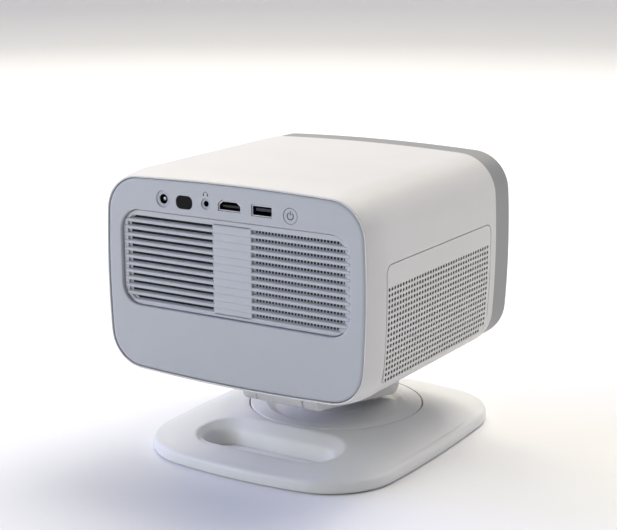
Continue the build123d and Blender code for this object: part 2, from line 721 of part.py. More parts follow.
def lens_bezel():
    """Chamfered ring that frames the lens in the window."""
    outer, inner = LENS_BEZEL_RADIUS, LENS_BARREL_RADIUS - LENS_BARREL_WALL
    profile = Polyline(
        (outer, 0),
        (outer, WINDOW_THICKNESS + 0.6),
        (outer - LENS_BEZEL_WIDTH * 0.4, WINDOW_THICKNESS + 1.0),
        (inner, 0.4),
        (inner, 0),
        (outer, 0),
    )
    ring = revolve(Plane.XY * make_face(profile), Axis.Y)
    return Pos(LENS_X, WINDOW_REAR_Y, LENS_Z) * mirror(ring, Plane.XZ)


def lens_barrel():
    """Tube that carries the lenses, from the frame back to the light engine."""
    front = WINDOW_REAR_Y
    rear = front + LENS_BARREL_LENGTH
    barrel = rod_y(LENS_BARREL_RADIUS, LENS_X, LENS_Z, front, rear)
    barrel -= rod_y(LENS_RADIUS + PRESS_GAP, LENS_X, LENS_Z, front - 1, front + LENS_SETBACK + 12.0)
    barrel -= rod_y(REAR_LENS_RADIUS + PRESS_GAP, LENS_X, LENS_Z, front, rear - 14.0)
    barrel -= rod_y(REAR_LENS_RADIUS - 2.0, LENS_X, LENS_Z, front, rear - 4.0)
    barrel += rod_y(LENS_BARREL_RADIUS + 4.0, LENS_X, LENS_Z, rear - 4.0, rear)
    return barrel - rod_y(REAR_LENS_RADIUS - 2.0, LENS_X, LENS_Z, rear - 5.0, rear + 1)


def lens_element(radius, curve, edge, y):
    """Glass element bulging towards the front, with its rim at y."""
    sag = curve - sqrt(curve**2 - radius**2)
    start, end = (0, -sag), (radius, 0)
    middle = (radius / 2, curve - sag - sqrt(curve**2 - radius**2 / 4))
    front_arc = ThreePointArc(start, middle, end)
    side = Polyline(end, (radius, edge), (0, edge), start)
    glass = revolve(Plane.XY * make_face(Wire(front_arc.edges() + side.edges())), Axis.Y)
    return Pos(LENS_X, y, LENS_Z) * glass


def front_lens():
    """Large front element, set back in the barrel."""
    rim_y = WINDOW_REAR_Y + LENS_SETBACK + 2 * LENS_EDGE
    return lens_element(LENS_RADIUS, LENS_CURVE_RADIUS, LENS_EDGE, rim_y)


def rear_lens():
    """Smaller inner element."""
    rim_y = WINDOW_REAR_Y + LENS_BARREL_LENGTH - REAR_LENS_SETBACK
    return lens_element(REAR_LENS_RADIUS, REAR_LENS_CURVE_RADIUS, REAR_LENS_EDGE, rim_y)


def focus_camera():
    """Small camera that watches the picture, with a rounded window."""
    y = WINDOW_FRONT_Y
    body = rod_y(CAMERA_RADIUS, CAMERA_X, LENS_Z, y, WINDOW_REAR_Y)
    body += rod_y(CAMERA_RADIUS - 1.0, CAMERA_X, LENS_Z, WINDOW_REAR_Y, FRAME_REAR_Y + 8.0)
    return chamfer(body.edges().group_by(Axis.Y)[0], 0.4)


def distance_sensor():
    """Distance sensor in a pill-shaped window beside the camera."""
    size = (SENSOR_WIDTH, SENSOR_HEIGHT)
    return rounded_bar(size, SENSOR_HEIGHT / 2 - 0.1, (SENSOR_X, LENS_Z), WINDOW_FRONT_Y, WINDOW_REAR_Y)


def speaker_cover(side):
    """Skin panel of the head's side, with the seat for the speaker on its inner face."""
    skin = head_form(0.0, RING_REAR_Y, HEAD_REAR_Y) - head_form(HEAD_WALL, RING_REAR_Y - 1, HEAD_REAR_Y - 1)
    window = Plane.YZ.offset(side * (HEAD_HALF_WIDTH - 20.0)) * cover_outline(0.0)
    cover = skin & extrude(window, amount=side * 30.0)
    inner_x = HEAD_HALF_WIDTH - HEAD_WALL - 0.2
    low, high = sorted((side * DRIVER_SEAT_X, side * inner_x))
    seat = rod_x(DRIVER_RADIUS, COVER_CENTRE_Y, DRIVER_Z, low, high)
    seat -= rod_x(DRIVER_RADIUS - DRIVER_SEAT_WALL, COVER_CENTRE_Y, DRIVER_Z, low - 1, high + 1)
    within = prism(HEAD.inset(HEAD_WALL / 2), RING_REAR_Y, HEAD_REAR_Y)
    seat -= prism(HEAD, RING_REAR_Y, HEAD_REAR_Y) - within
    return cover + seat


def speaker(side):
    """Speaker driver with its basket, cone and magnet, facing the cover."""
    r = DRIVER_RADIUS
    profile = Polyline(
        (0, -4.0),
        (5.0, -4.0),
        (6.5, -6.0),
        (r - 5.0, -0.6),
        (r - 3.0, -0.6),
        (r - 1.5, 0),
        (r, 0),
        (r, -2.0),
        (r - 4.0, -3.5),
        (14.0, -13.0),
        (14.0, -DRIVER_DEPTH),
        (0, -DRIVER_DEPTH),
        (0, -4.0),
    )
    driver = revolve(Plane.XY * make_face(profile), Axis.Y)
    turned = Rot(0, 0, -90 * side) * driver
    return Pos(side * (DRIVER_SEAT_X), COVER_CENTRE_Y, DRIVER_Z) * turned


def light_engine():
    """Sealed housing of the lamp, panel and mirrors, with a sloped shoulder."""
    body = block(ENGINE_X, ENGINE_Y, ENGINE_Z)
    edges = body.edges().filter_by(Axis.Y).group_by(Axis.Z)[-1]
    body = chamfer(edges, 9.0)
    rear_of_barrel = WINDOW_REAR_Y + LENS_BARREL_LENGTH
    neck_x = (LENS_X - 30.0, LENS_X + 30.0)
    body += block(neck_x, (rear_of_barrel, ENGINE_Y[1] - 14.0), (LENS_Z - 30.0, LENS_Z + 24.0))
    return body - rod_y(13.0, LENS_X, LENS_Z, rear_of_barrel - 1, ENGINE_Y[0] + 12.0)


FIN_SPAN = (FIN_RIGHT_X, FIN_RIGHT_X + FIN_PITCH * FIN_COUNT)
FIN_Z = (VENT_CENTRE_Z - VENT_HEIGHT / 2 + FIN_MARGIN, VENT_CENTRE_Z + VENT_HEIGHT / 2 - FIN_MARGIN)
FIN_REAR_Y = VENT_REAR_Y - FIN_GAP
FIN_FRONT_Y = FIN_REAR_Y - FIN_DEPTH


def cooling_fins():
    """Stack of thin upright fins on a base plate, just behind the louvres."""
    pack = block(FIN_SPAN, (FIN_FRONT_Y - FIN_BASE_THICKNESS, FIN_FRONT_Y), FIN_Z)
    for index in range(FIN_COUNT + 1):
        x = FIN_SPAN[0] + index * FIN_PITCH
        pack += block((x - FIN_THICKNESS / 2, x + FIN_THICKNESS / 2), (FIN_FRONT_Y, FIN_REAR_Y), FIN_Z)
    return pack


def heat_pipes():
    """Two flattened pipes that join the light engine to the fin plate."""
    pipes = []
    rear = FIN_FRONT_Y - FIN_BASE_THICKNESS
    start = FIN_RIGHT_X + PIPE_START
    end = start + PIPE_REACH
    for z in (FIN_Z[0] + PIPE_LOW, FIN_Z[1] - PIPE_HIGH):
        run = block((end - PIPE_WIDTH, end), (ENGINE_Y[1], rear), (z, z + PIPE_THICKNESS))
        pipes.append(run + block((start, end), (rear - PIPE_THICKNESS * 2, rear), (z, z + PIPE_THICKNESS)))
    return pipes


def vent_outline(grow):
    """Rounded outline of the louvred insert."""
    return RectangleRounded(VENT_WIDTH + 2 * grow, VENT_HEIGHT + 2 * grow, VENT_CORNER + grow)


def vent_prism(grow, front, rear):
    """Louvre outline between two places along Y."""
    return extrude(upright(rear) * Pos(0, VENT_CENTRE_Z) * vent_outline(grow), amount=rear - front)


def rear_louvre():
    """Louvred insert: sloped slots in two blocks, with fine lines over the bridge between them."""
    insert = vent_prism(-SKIN_GAP, VENT_REAR_Y, VENT_FACE_Y)
    insert += vent_prism(1.5, VENT_REAR_Y, PANEL_FRONT_Y)
    slots = []
    grooves = []
    block_width = (VENT_WIDTH - VENT_BRIDGE) / 2 - VENT_MARGIN
    for row in range(SLAT_ROWS):
        z = VENT_CENTRE_Z + ((SLAT_ROWS - 1) / 2 - row) * SLAT_PITCH
        middle_y = (VENT_FACE_Y + VENT_REAR_Y) / 2
        for side in (-1, 1):
            x = side * (VENT_BRIDGE / 2 + block_width / 2)
            cut = Box(block_width, SLAT_DEPTH * 2, SLOT_GAP)
            slots.append(Pos(x, middle_y, z) * Rot(-SLAT_SLOPE, 0, 0) * cut)
        grooves.append(Pos(0, VENT_FACE_Y, z) * Box(VENT_BRIDGE + 1, 2 * BRIDGE_GROOVE, BRIDGE_GROOVE))
    field = vent_prism(-VENT_MARGIN + 1.2, VENT_REAR_Y - 1, VENT_FACE_Y + 1)
    cutter = Part() + slots
    insert -= cutter & field
    insert -= Part() + grooves
    return insert


def rear_panel():
    """Rear cover with the louvre window, port cut-outs and a rounded edge."""
    edge = RIM_WIDTH + SKIN_GAP
    panel = prism(HEAD_REAR.inset(edge), PANEL_FRONT_Y, HEAD_REAR_Y)
    panel = fillet(panel.edges().group_by(Axis.Y)[-1], 1.4)
    panel -= vent_prism(0.0, PANEL_FRONT_Y - 1, HEAD_REAR_Y + 1)
    front, rear = PANEL_FRONT_Y - 1, HEAD_REAR_Y + 1
    panel -= rod_y(DC_JACK_RADIUS + 0.1, *DC_JACK_AT, front, rear)
    panel -= rod_y(AUDIO_JACK_RADIUS + 0.1, *AUDIO_JACK_AT, front, rear)
    panel -= rod_y(BUTTON_RADIUS + BUTTON_GAP, *BUTTON_AT, front, rear)
    window = (IR_WINDOW_SIZE[0] + 0.2, IR_WINDOW_SIZE[1] + 0.2)
    panel -= rounded_bar(window, 3.3, IR_WINDOW_AT, front, rear)
    panel -= video_bar(0.2, front, rear)
    window = (DATA_PORT_SIZE[0] + 0.4, DATA_PORT_SIZE[1] + 0.4)
    return panel - rounded_bar(window, 0.6, DATA_PORT_AT, front, rear)


def port_end():
    """Rear face of the sockets, a little inside the panel face."""
    return HEAD_REAR_Y - 0.6


def dc_jack():
    """Power socket with its centre pin."""
    x, z = DC_JACK_AT
    low, high = port_end() - PORT_DEPTH, port_end()
    body = rod_y(DC_JACK_RADIUS, x, z, low, high)
    body += block((x - 4.0, x + 4.0), (low, PANEL_FRONT_Y - 0.5), (BOARD_TOP_Z, z))
    body -= rod_y(DC_JACK_RADIUS - 2.0, x, z, low + 4.0, high + 1)
    return body + rod_y(DC_PIN_RADIUS, x, z, low + 3.0, high - 1.2)


def ir_window():
    """Glossy dark window over the remote control receiver."""
    return rounded_bar(IR_WINDOW_SIZE, 3.2, IR_WINDOW_AT, PANEL_FRONT_Y, HEAD_REAR_Y - 0.2)


def audio_jack():
    """Round socket for headphones."""
    x, z = AUDIO_JACK_AT
    body = rod_y(AUDIO_JACK_RADIUS, x, z, PANEL_FRONT_Y - 1, port_end())
    low = (BOARD_TOP_Z, z + 2.9)
    body += block((x - 3.2, x + 3.2), (port_end() - PORT_DEPTH, PANEL_FRONT_Y - 0.5), low)
    return body - rod_y(AUDIO_BORE_RADIUS, x, z, port_end() - PORT_DEPTH + 2, port_end() + 1)


def socket_tongue(at, size, low, high):
    """Plastic tongue inside a flat socket, between two heights over the socket's middle."""
    x, z = at
    reach = (size[0] - 2 * SOCKET_WALL) * 0.4
    along = (port_end() - PORT_DEPTH, port_end() - 1.4)
    return block((x - reach, x + reach), along, (z + low, z + high))


def socket_foot(at, size, half_width):
    """Foot that stands a flat socket on the board."""
    x, z = at
    along = (port_end() - PORT_DEPTH, PANEL_FRONT_Y - 0.5)
    return block((x - half_width, x + half_width), along, (BOARD_TOP_Z, z - size[1] / 2 + 0.2))


def video_bar(grow, front, rear):
    """Outline of the video socket, with its upper corners cut off, between two places along Y."""
    x, z = VIDEO_PORT_AT
    reach, rise = (size / 2 + grow for size in VIDEO_PORT_SIZE)
    cut_x, cut_z = VIDEO_PORT_CUT
    half = [(reach, -rise), (reach, rise - cut_z), (reach - cut_x, rise)]
    loop = half + [(-a, b) for a, b in half[::-1]]
    face = make_face(Polyline(*[(x + a, z + b) for a, b in loop], close=True))
    return extrude(upright(rear) * face, amount=rear - front)


def video_port():
    """Video socket with its slanted upper corners."""
    low, high = port_end() - PORT_DEPTH, port_end()
    body = video_bar(0.0, low, high) - video_bar(-SOCKET_WALL, low + 2.0, high + 1)
    body += socket_tongue(VIDEO_PORT_AT, VIDEO_PORT_SIZE, -1.1, 0.3)
    return body + socket_foot(VIDEO_PORT_AT, VIDEO_PORT_SIZE, 6.0)


def data_port():
    """Data socket with its tongue in the upper half."""
    low, high = port_end() - PORT_DEPTH, port_end()
    inner = [size - 2 * SOCKET_WALL for size in DATA_PORT_SIZE]
    body = rounded_bar(DATA_PORT_SIZE, 0.5, DATA_PORT_AT, low, high)
    body -= rounded_bar(inner, 0.3, DATA_PORT_AT, low + 2.0, high + 1)
    body += socket_tongue(DATA_PORT_AT, DATA_PORT_SIZE, -0.4, 1.4)
    return body + socket_foot(DATA_PORT_AT, DATA_PORT_SIZE, 5.0)


BUTTON_STEM_END = HEAD_REAR_Y - 9.0


def power_button():
    """Round push button with a stem that reaches its switch."""
    x, z = BUTTON_AT
    cap = rod_y(BUTTON_RADIUS, x, z, PANEL_FRONT_Y - 1.0, HEAD_REAR_Y)
    cap = chamfer(cap.edges().group_by(Axis.Y)[-1], 0.4)
    cap += rod_y(BUTTON_RADIUS + 0.8, x, z, PANEL_FRONT_Y - 1.8, PANEL_FRONT_Y - 0.3)
    return cap + rod_y(1.4, x, z, BUTTON_STEM_END, PANEL_FRONT_Y - 1.0)


def button_switch():
    """Small push switch on the board, behind the button."""
    x, z = BUTTON_AT
    rear = BUTTON_STEM_END - BUTTON_TRAVEL - 0.2
    wide, deep = SWITCH_SIZE
    return block((x - wide / 2, x + wide / 2), (rear - deep, rear), (BOARD_TOP_Z, z + SWITCH_RISE))


def main_board():
    """Circuit board that carries the sockets."""
    rear = PANEL_FRONT_Y - 3.0
    board = block(BOARD_X, (rear - BOARD_LENGTH, rear), (BOARD_TOP_Z - BOARD_THICKNESS, BOARD_TOP_Z))
    return board


def board_parts():
    """Processor with its heat spreader, and memory and power parts under the board."""
    low = BOARD_TOP_Z - BOARD_THICKNESS
    rear = port_end() - CHIP_SETBACK
    half = CHIP_SIZE / 2
    pieces = [block((CHIP_X - half, CHIP_X + half), (rear - CHIP_SIZE, rear), (low - CHIP_HEIGHT, low))]
    for index in range(2):
        x = MEMORY_X + MEMORY_PITCH * index
        span = (x - MEMORY_SIZE[0] / 2, x + MEMORY_SIZE[0] / 2)
        pieces.append(block(span, (rear - MEMORY_SIZE[1], rear), (low - MEMORY_HEIGHT, low)))
        place = (CAPACITOR_X - CAPACITOR_PITCH * index, rear - 2 * CAPACITOR_RADIUS)
        pieces.append(disc(CAPACITOR_RADIUS, place, low - CAPACITOR_HEIGHT, low))
    return pieces


FAN_REAR_Y = VENT_REAR_Y
FAN_FRONT_Y = FAN_REAR_Y - FAN_DEPTH


def fan_frame():
    """Square fan frame with a spoked hub, fixed to the back of the louvre."""
    half = FAN_SIZE / 2
    x, z = FAN_X, VENT_CENTRE_Z
    frame = block((x - half, x + half), (FAN_FRONT_Y, FAN_REAR_Y), (z - half, z + half))
    frame -= rod_y(FAN_BORE, x, z, FAN_FRONT_Y - 1, FAN_REAR_Y + 1)
    hub = rod_y(FAN_HUB_RADIUS, x, z, FAN_FRONT_Y, FAN_FRONT_Y + 2.0)
    for turn in (45, 135):
        bar = Pos(x, FAN_FRONT_Y + 1.0, z) * Rot(0, turn, 0) * Box(2 * FAN_BORE + 2, 2.0, 3.0)
        hub += bar
    frame += hub
    return frame - rod_y(FAN_SHAFT_RADIUS + SHAFT_FIT, x, z, FAN_FRONT_Y - 1, FAN_FRONT_Y + 3)


def fan_rotor():
    """Hub with swept blades, on its own shaft."""
    low, high = FAN_FRONT_Y + 3.0, FAN_REAR_Y - 1.5
    hub = rod_y(FAN_HUB_RADIUS, 0, 0, low, high)
    shaft = rod_y(FAN_SHAFT_RADIUS, 0, 0, FAN_FRONT_Y + 0.2, low)
    rotor = hub + shaft
    length = FAN_ROTOR_RADIUS - FAN_HUB_RADIUS + 1.0
    middle = FAN_HUB_RADIUS + length / 2 - 1.0
    for index in range(FAN_BLADES):
        blade = Pos(middle, (low + high) / 2, 0) * Rot(42, 0, 0) * Box(length, 1.2, 11.0)
        rotor += Rot(0, index * 360 / FAN_BLADES, 0) * blade
    rotor &= rod_y(FAN_ROTOR_RADIUS, 0, 0, FAN_FRONT_Y, high)
    return Pos(FAN_X, 0, VENT_CENTRE_Z) * rotor


PARTS = {
    "base_shell": base_shell,
    "base_weight": base_weight,
    "base_plate": base_plate,
    "foot_pads": foot_pads,
    "swivel_spindle": swivel_spindle,
    "swivel_slip_ring": swivel_slip_ring,
    "swivel_cap": swivel_cap,
    "turntable_disc": turntable_disc,
    "lift_arm": lift_arm,
    "lift_pin": lambda: hinge_pin(LIFT_Y, LIFT_Z),
    "tilt_pin": lambda: hinge_pin(TILT_Y, TILT_Z),
    "tilt_leaf": tilt_leaf,
    "head_shell": head_shell,
    "front_ring": front_ring,
    "front_window": front_window,
    "front_frame": front_frame,
    "lens_bezel": lens_bezel,
    "lens_barrel": lens_barrel,
    "front_lens": front_lens,
    "rear_lens": rear_lens,
    "focus_camera": focus_camera,
    "distance_sensor": distance_sensor,
    "speaker_cover_right": lambda: speaker_cover(-1),
    "speaker_cover_left": lambda: speaker_cover(1),
    "speaker_right": lambda: speaker(-1),
    "speaker_left": lambda: speaker(1),
    "light_engine": light_engine,
    "cooling_fins": cooling_fins,
    "heat_pipes": heat_pipes,
    "rear_louvre": rear_louvre,
    "rear_panel": rear_panel,
    "dc_jack": dc_jack,
    "ir_window": ir_window,
    "audio_jack": audio_jack,
    "video_port": video_port,
    "data_port": data_port,
    "power_button": power_button,
    "button_switch": button_switch,
    "main_board": main_board,
    "board_parts": board_parts,
    "fan_frame": fan_frame,
    "fan_rotor": fan_rotor,
}


def main():
    """Build each piece and write it as its own file."""
    os.makedirs("parts", exist_ok=True)
    for name, build in PARTS.items():
        made = build()
        if isinstance(made, list):
            made = Compound(children=made)
        export_step(made, f"parts/{name}.step")


if __name__ == "__main__":
    main()
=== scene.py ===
"""Looks of a table projector on a folding stand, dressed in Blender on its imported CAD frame.

Sizes are millimetres until a mesh is finished, in the frame of the CAD: +Z up, lens along -Y, ports on +Y.
Left and right are as seen from behind the ports, so right is -X.
"""

import logging
from dataclasses import dataclass
from enum import Enum
from functools import partial
from math import asin, atan2, cos, hypot, pi, radians, sin, sqrt, tan
from typing import Any, Callable, Iterable, Sequence

import bmesh
import bpy
import numpy as np
from mathutils import Matrix, Vector
from mathutils.bvhtree import BVHTree
from mathutils.geometry import delaunay_2d_cdt


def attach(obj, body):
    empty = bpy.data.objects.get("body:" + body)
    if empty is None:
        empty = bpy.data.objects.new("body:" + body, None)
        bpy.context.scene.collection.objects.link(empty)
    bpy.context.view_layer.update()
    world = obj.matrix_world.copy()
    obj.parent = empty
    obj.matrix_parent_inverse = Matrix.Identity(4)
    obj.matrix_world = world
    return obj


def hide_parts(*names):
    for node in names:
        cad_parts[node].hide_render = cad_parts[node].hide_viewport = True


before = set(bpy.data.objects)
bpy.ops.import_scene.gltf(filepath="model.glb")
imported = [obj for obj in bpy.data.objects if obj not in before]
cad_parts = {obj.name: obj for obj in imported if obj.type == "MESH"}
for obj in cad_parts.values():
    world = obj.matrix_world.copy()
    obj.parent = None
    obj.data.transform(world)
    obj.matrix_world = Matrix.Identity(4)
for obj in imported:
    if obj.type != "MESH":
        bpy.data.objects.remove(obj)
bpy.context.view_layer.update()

LOG = logging.getLogger("projector")

# Corners nearer than this are one corner, and a face smaller than this, in square millimetres, is a sliver.
DOUBLES_MM = 0.002
SLIVER_MM2 = 0.0005

Pair = tuple[float, float]
Triple = tuple[float, float, float]
Colour = tuple[float, float, float, float]
Lift = Callable[[float, float], Triple]
Inputs = dict[str | int, Any]


class Body(Enum):
    """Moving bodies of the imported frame."""

    BASE = "base"
    TURNTABLE = "turntable"
    ARM = "arm"
    HEAD = "head"
    BUTTON = "power_button"
    ROTOR = "fan_rotor"


class Side(Enum):
    """The two sides of the head, by the sign of X."""

    RIGHT = -1
    LEFT = 1


# Node trees


def add_node(
    tree: bpy.types.NodeTree,
    kind: str,
    settings: dict[str, Any] | None = None,
    inputs: Inputs | None = None,
) -> bpy.types.Node:
    """Add one node with its settings, input values and links.

    Args:
        tree: Tree that the node goes into.
        kind: Blender's name for the node.
        settings: Attributes of the node.
        inputs: Socket name or number to a value, or to an output socket or a list of them to link to it.

    Returns:
        The new node.
    """
    node = tree.nodes.new(kind)
    for name, value in (settings or {}).items():
        setattr(node, name, value)
    for key, value in (inputs or {}).items():
        for item in value if isinstance(value, list) else [value]:
            if isinstance(item, bpy.types.NodeSocket):
                tree.links.new(item, node.inputs[key])
            else:
                node.inputs[key].default_value = item
    return node


def linear(code: str) -> Colour:
    """Turn an sRGB hex colour into linear values.

    Args:
        code: Colour such as "#a0b1c2".

    Returns:
        Linear red, green, blue and an alpha of 1.
    """
    shares = [int(code[i : i + 2], 16) / 255 for i in (1, 3, 5)]
    red, green, blue = [s / 12.92 if s <= 0.04045 else ((s + 0.055) / 1.055) ** 2.4 for s in shares]
    return red, green, blue, 1.0


def scaled(colour: Colour, factor: float, lift: float = 0.0) -> Colour:
    """Colour times a factor, lifted a little, and kept within 1."""
    red, green, blue = [min(1.0, c * factor + lift) for c in colour[:3]]
    return red, green, blue, 1.0


# Finishes


@dataclass(frozen=True)
class Finish:
    """What every finish has: its own name and the record's slot that it belongs to."""

    name: str
    slot: str

    def material(self) -> bpy.types.Material:
        """Make the material once, and return the same one afterwards.

        Returns:
            The material.
        """
        made = bpy.data.materials.get(self.name)
        if made is None:
            made = bpy.data.materials.new(self.name)
            made.use_nodes = True
            made.node_tree.nodes.clear()
            self.dress(made.node_tree)
        return made

    def dress(self, tree: bpy.types.NodeTree) -> None:
        """Fill the material's node tree."""
        raise NotImplementedError

    def shade(
        self,
        tree: bpy.types.NodeTree,
        inputs: dict[str, Any],
        tone: tuple[Any, Colour, Colour] | None = None,
        gloss: tuple[Any, float, float] | None = None,
        relief: tuple[Any, float] | None = None,
    ) -> None:
        """Add the surface shader, what drives it, and the output.

        Args:
            tree: The material's node tree.
            inputs: Values of the shader's sockets.
            tone: Share of the second colour, and the two colours.
            gloss: What drives the roughness, and its lowest and highest value.
            relief: Height of the surface, and the depth of the relief in millimetres.
        """
        driven = dict(inputs)
        if tone:
            values = dict(zip(("Factor", 6, 7), tone))
            driven["Base Color"] = add_node(tree, "ShaderNodeMix", {"data_type": "RGBA"}, values).outputs[2]
        if gloss:
            values = dict(zip(("Value", "To Min", "To Max"), gloss))
            driven["Roughness"] = add_node(tree, "ShaderNodeMapRange", None, values).outputs["Result"]
        if relief:
            values = {"Height": relief[0], "Distance": relief[1] / 1000, "Strength": 1.0}
            driven["Normal"] = add_node(tree, "ShaderNodeBump", None, values).outputs["Normal"]
        shader = add_node(tree, "ShaderNodeBsdfPrincipled", None, driven)
        add_node(tree, "ShaderNodeOutputMaterial", None, {"Surface": shader.outputs["BSDF"]})

    def grain(self, tree: bpy.types.NodeTree, size: float, detail: float, stretch: Triple = (1, 1, 1)) -> Any:
        """Noise in the piece's own space.

        Args:
            tree: The material's node tree.
            size: Size of one grain in millimetres.
            detail: Octaves of the noise.
            stretch: How many times finer the grain is along X, Y and Z.

        Returns:
            The noise's value.
        """
        place = add_node(tree, "ShaderNodeTexCoord").outputs["Object"]
        place = add_node(tree, "ShaderNodeMapping", None, {"Vector": place, "Scale": stretch}).outputs[0]
        values = {"Vector": place, "Scale": 1000 / size, "Detail": detail, "Roughness": 0.6}
        return add_node(tree, "ShaderNodeTexNoise", None, values).outputs["Fac"]


@dataclass(frozen=True)
class MouldedPlastic(Finish):
    """Injection-moulded ABS with a spark-eroded grain, which gives a soft sheen without a mirror image."""

    colour: str
    roughness: float = 0.5
    grain_mm: float = 0.9
    relief_mm: float = 0.012
    mottle: float = 0.03
    specular: float = 0.5

    def dress(self, tree: bpy.types.NodeTree) -> None:
        """Fine relief from the mould, with a faint drift of tone and gloss over the part.

        Args:
            tree: The material's node tree.
        """
        # The real grain is about 0.15 mm, too fine for this frame, so it is drawn at grain_mm.
        grain = self.grain(tree, self.grain_mm, 3.0)
        base = linear(self.colour)
        self.shade(
            tree,
            {"IOR": 1.53, "Specular IOR Level": self.specular},
            (self.grain(tree, 38.0, 2.0), scaled(base, 1 - 2 * self.mottle), base),
            (grain, self.roughness - 0.06, self.roughness + 0.06),
            (grain, self.relief_mm),
        )


@dataclass(frozen=True)
class GlossPlastic(Finish):
    """Smoked polycarbonate, polished in the mould, which looks black and mirrors the room."""

    colour: str
    roughness: float = 0.06

    def dress(self, tree: bpy.types.NodeTree) -> None:
        """Clean gloss with the faint waviness of a moulded window, and a little dust.

        Args:
            tree: The material's node tree.
        """
        coat = {"Coat Weight": 0.6, "Coat Roughness": 0.02}
        self.shade(
            tree,
            {"Base Color": linear(self.colour), "IOR": 1.58, **coat},
            gloss=(self.grain(tree, 1.6, 4.0), self.roughness, self.roughness + 0.07),
            relief=(self.grain(tree, 26.0, 1.0), 0.08),
        )


@dataclass(frozen=True)
class WorkedMetal(Finish):
    """Bare metal with the fine lines that its turning, rolling or brushing left."""

    colour: str
    roughness: float = 0.3
    line_mm: float = 0.5
    along: Triple = (1.0, 1.0, 14.0)

    def dress(self, tree: bpy.types.NodeTree) -> None:
        """Lines run across the axis that has the large stretch, under a faint stain.

        Args:
            tree: The material's node tree.
        """
        # Real tool marks are under 0.1 mm apart. They are drawn at line_mm so that they show.
        lines = self.grain(tree, self.line_mm * max(self.along), 4.0, self.along)
        base = linear(self.colour)
        self.shade(
            tree,
            {"Metallic": 1.0},
            (self.grain(tree, 9.0, 3.0), scaled(base, 0.8), base),
            (lines, self.roughness - 0.1, self.roughness + 0.14),
            (lines, 0.01),
        )


@dataclass(frozen=True)
class SoftRubber(Finish):
    """Moulded rubber, cloth or pressed paper pulp, dull and slightly uneven."""

    colour: str
    roughness: float = 0.85
    fibre_mm: float = 0.8

    def dress(self, tree: bpy.types.NodeTree) -> None:
        """Dull surface with a dusty sheen at its edges.

        Args:
            tree: The material's node tree.
        """
        fibre = self.grain(tree, self.fibre_mm, 5.0)
        base = linear(self.colour)
        values = {"Roughness": self.roughness, "IOR": 1.5, "Sheen Weight": 0.15}
        self.shade(tree, values, (fibre, base, scaled(base, 1.5, 0.004)), relief=(fibre, 0.04))


@dataclass(frozen=True)
class CoatedGlass(Finish):
    """Optical glass with an anti-reflection coating, which tints its reflections violet and green."""

    tint: str
    edge_tint: str = "#3c2a5c"

    def dress(self, tree: bpy.types.NodeTree) -> None:
        """Dark see-through glass whose coat colour drifts with the angle.

        Args:
            tree: The material's node tree.
        """
        facing = add_node(tree, "ShaderNodeLayerWeight", None, {"Blend": 0.35}).outputs["Facing"]
        coat = {"Coat Weight": 1.0, "Coat Roughness": 0.01}
        self.shade(
            tree,
            {"IOR": 1.62, "Transmission Weight": 0.75, **coat},
            (facing, linear(self.tint), linear(self.edge_tint)),
            (self.grain(tree, 3.0, 4.0), 0.01, 0.05),
        )


@dataclass(frozen=True)
class CircuitBoard(Finish):
    """Fibreglass board under a solder mask, with raised copper tracks."""

    colour: str
    track_mm: float = 2.2

    def dress(self, tree: bpy.types.NodeTree) -> None:
        """Tracks are cell borders, lighter than the mask between them.

        Args:
            tree: The material's node tree.
        """
        place = add_node(tree, "ShaderNodeTexCoord").outputs["Object"]
        pattern = {"distance": "MANHATTAN", "feature": "F1"}
        values = {"Vector": place, "Scale": 1000 / self.track_mm}
        cells = add_node(tree, "ShaderNodeTexVoronoi", pattern, values)
        limits = {"Value": cells.outputs["Distance"], "From Min": 0.35, "From Max": 0.5}
        track = add_node(tree, "ShaderNodeMapRange", None, limits).outputs["Result"]
        base = linear(self.colour)
        lacquer = {"Roughness": 0.35, "IOR": 1.5}
        self.shade(tree, lacquer, (track, base, scaled(base, 1.9)), relief=(track, 0.03))


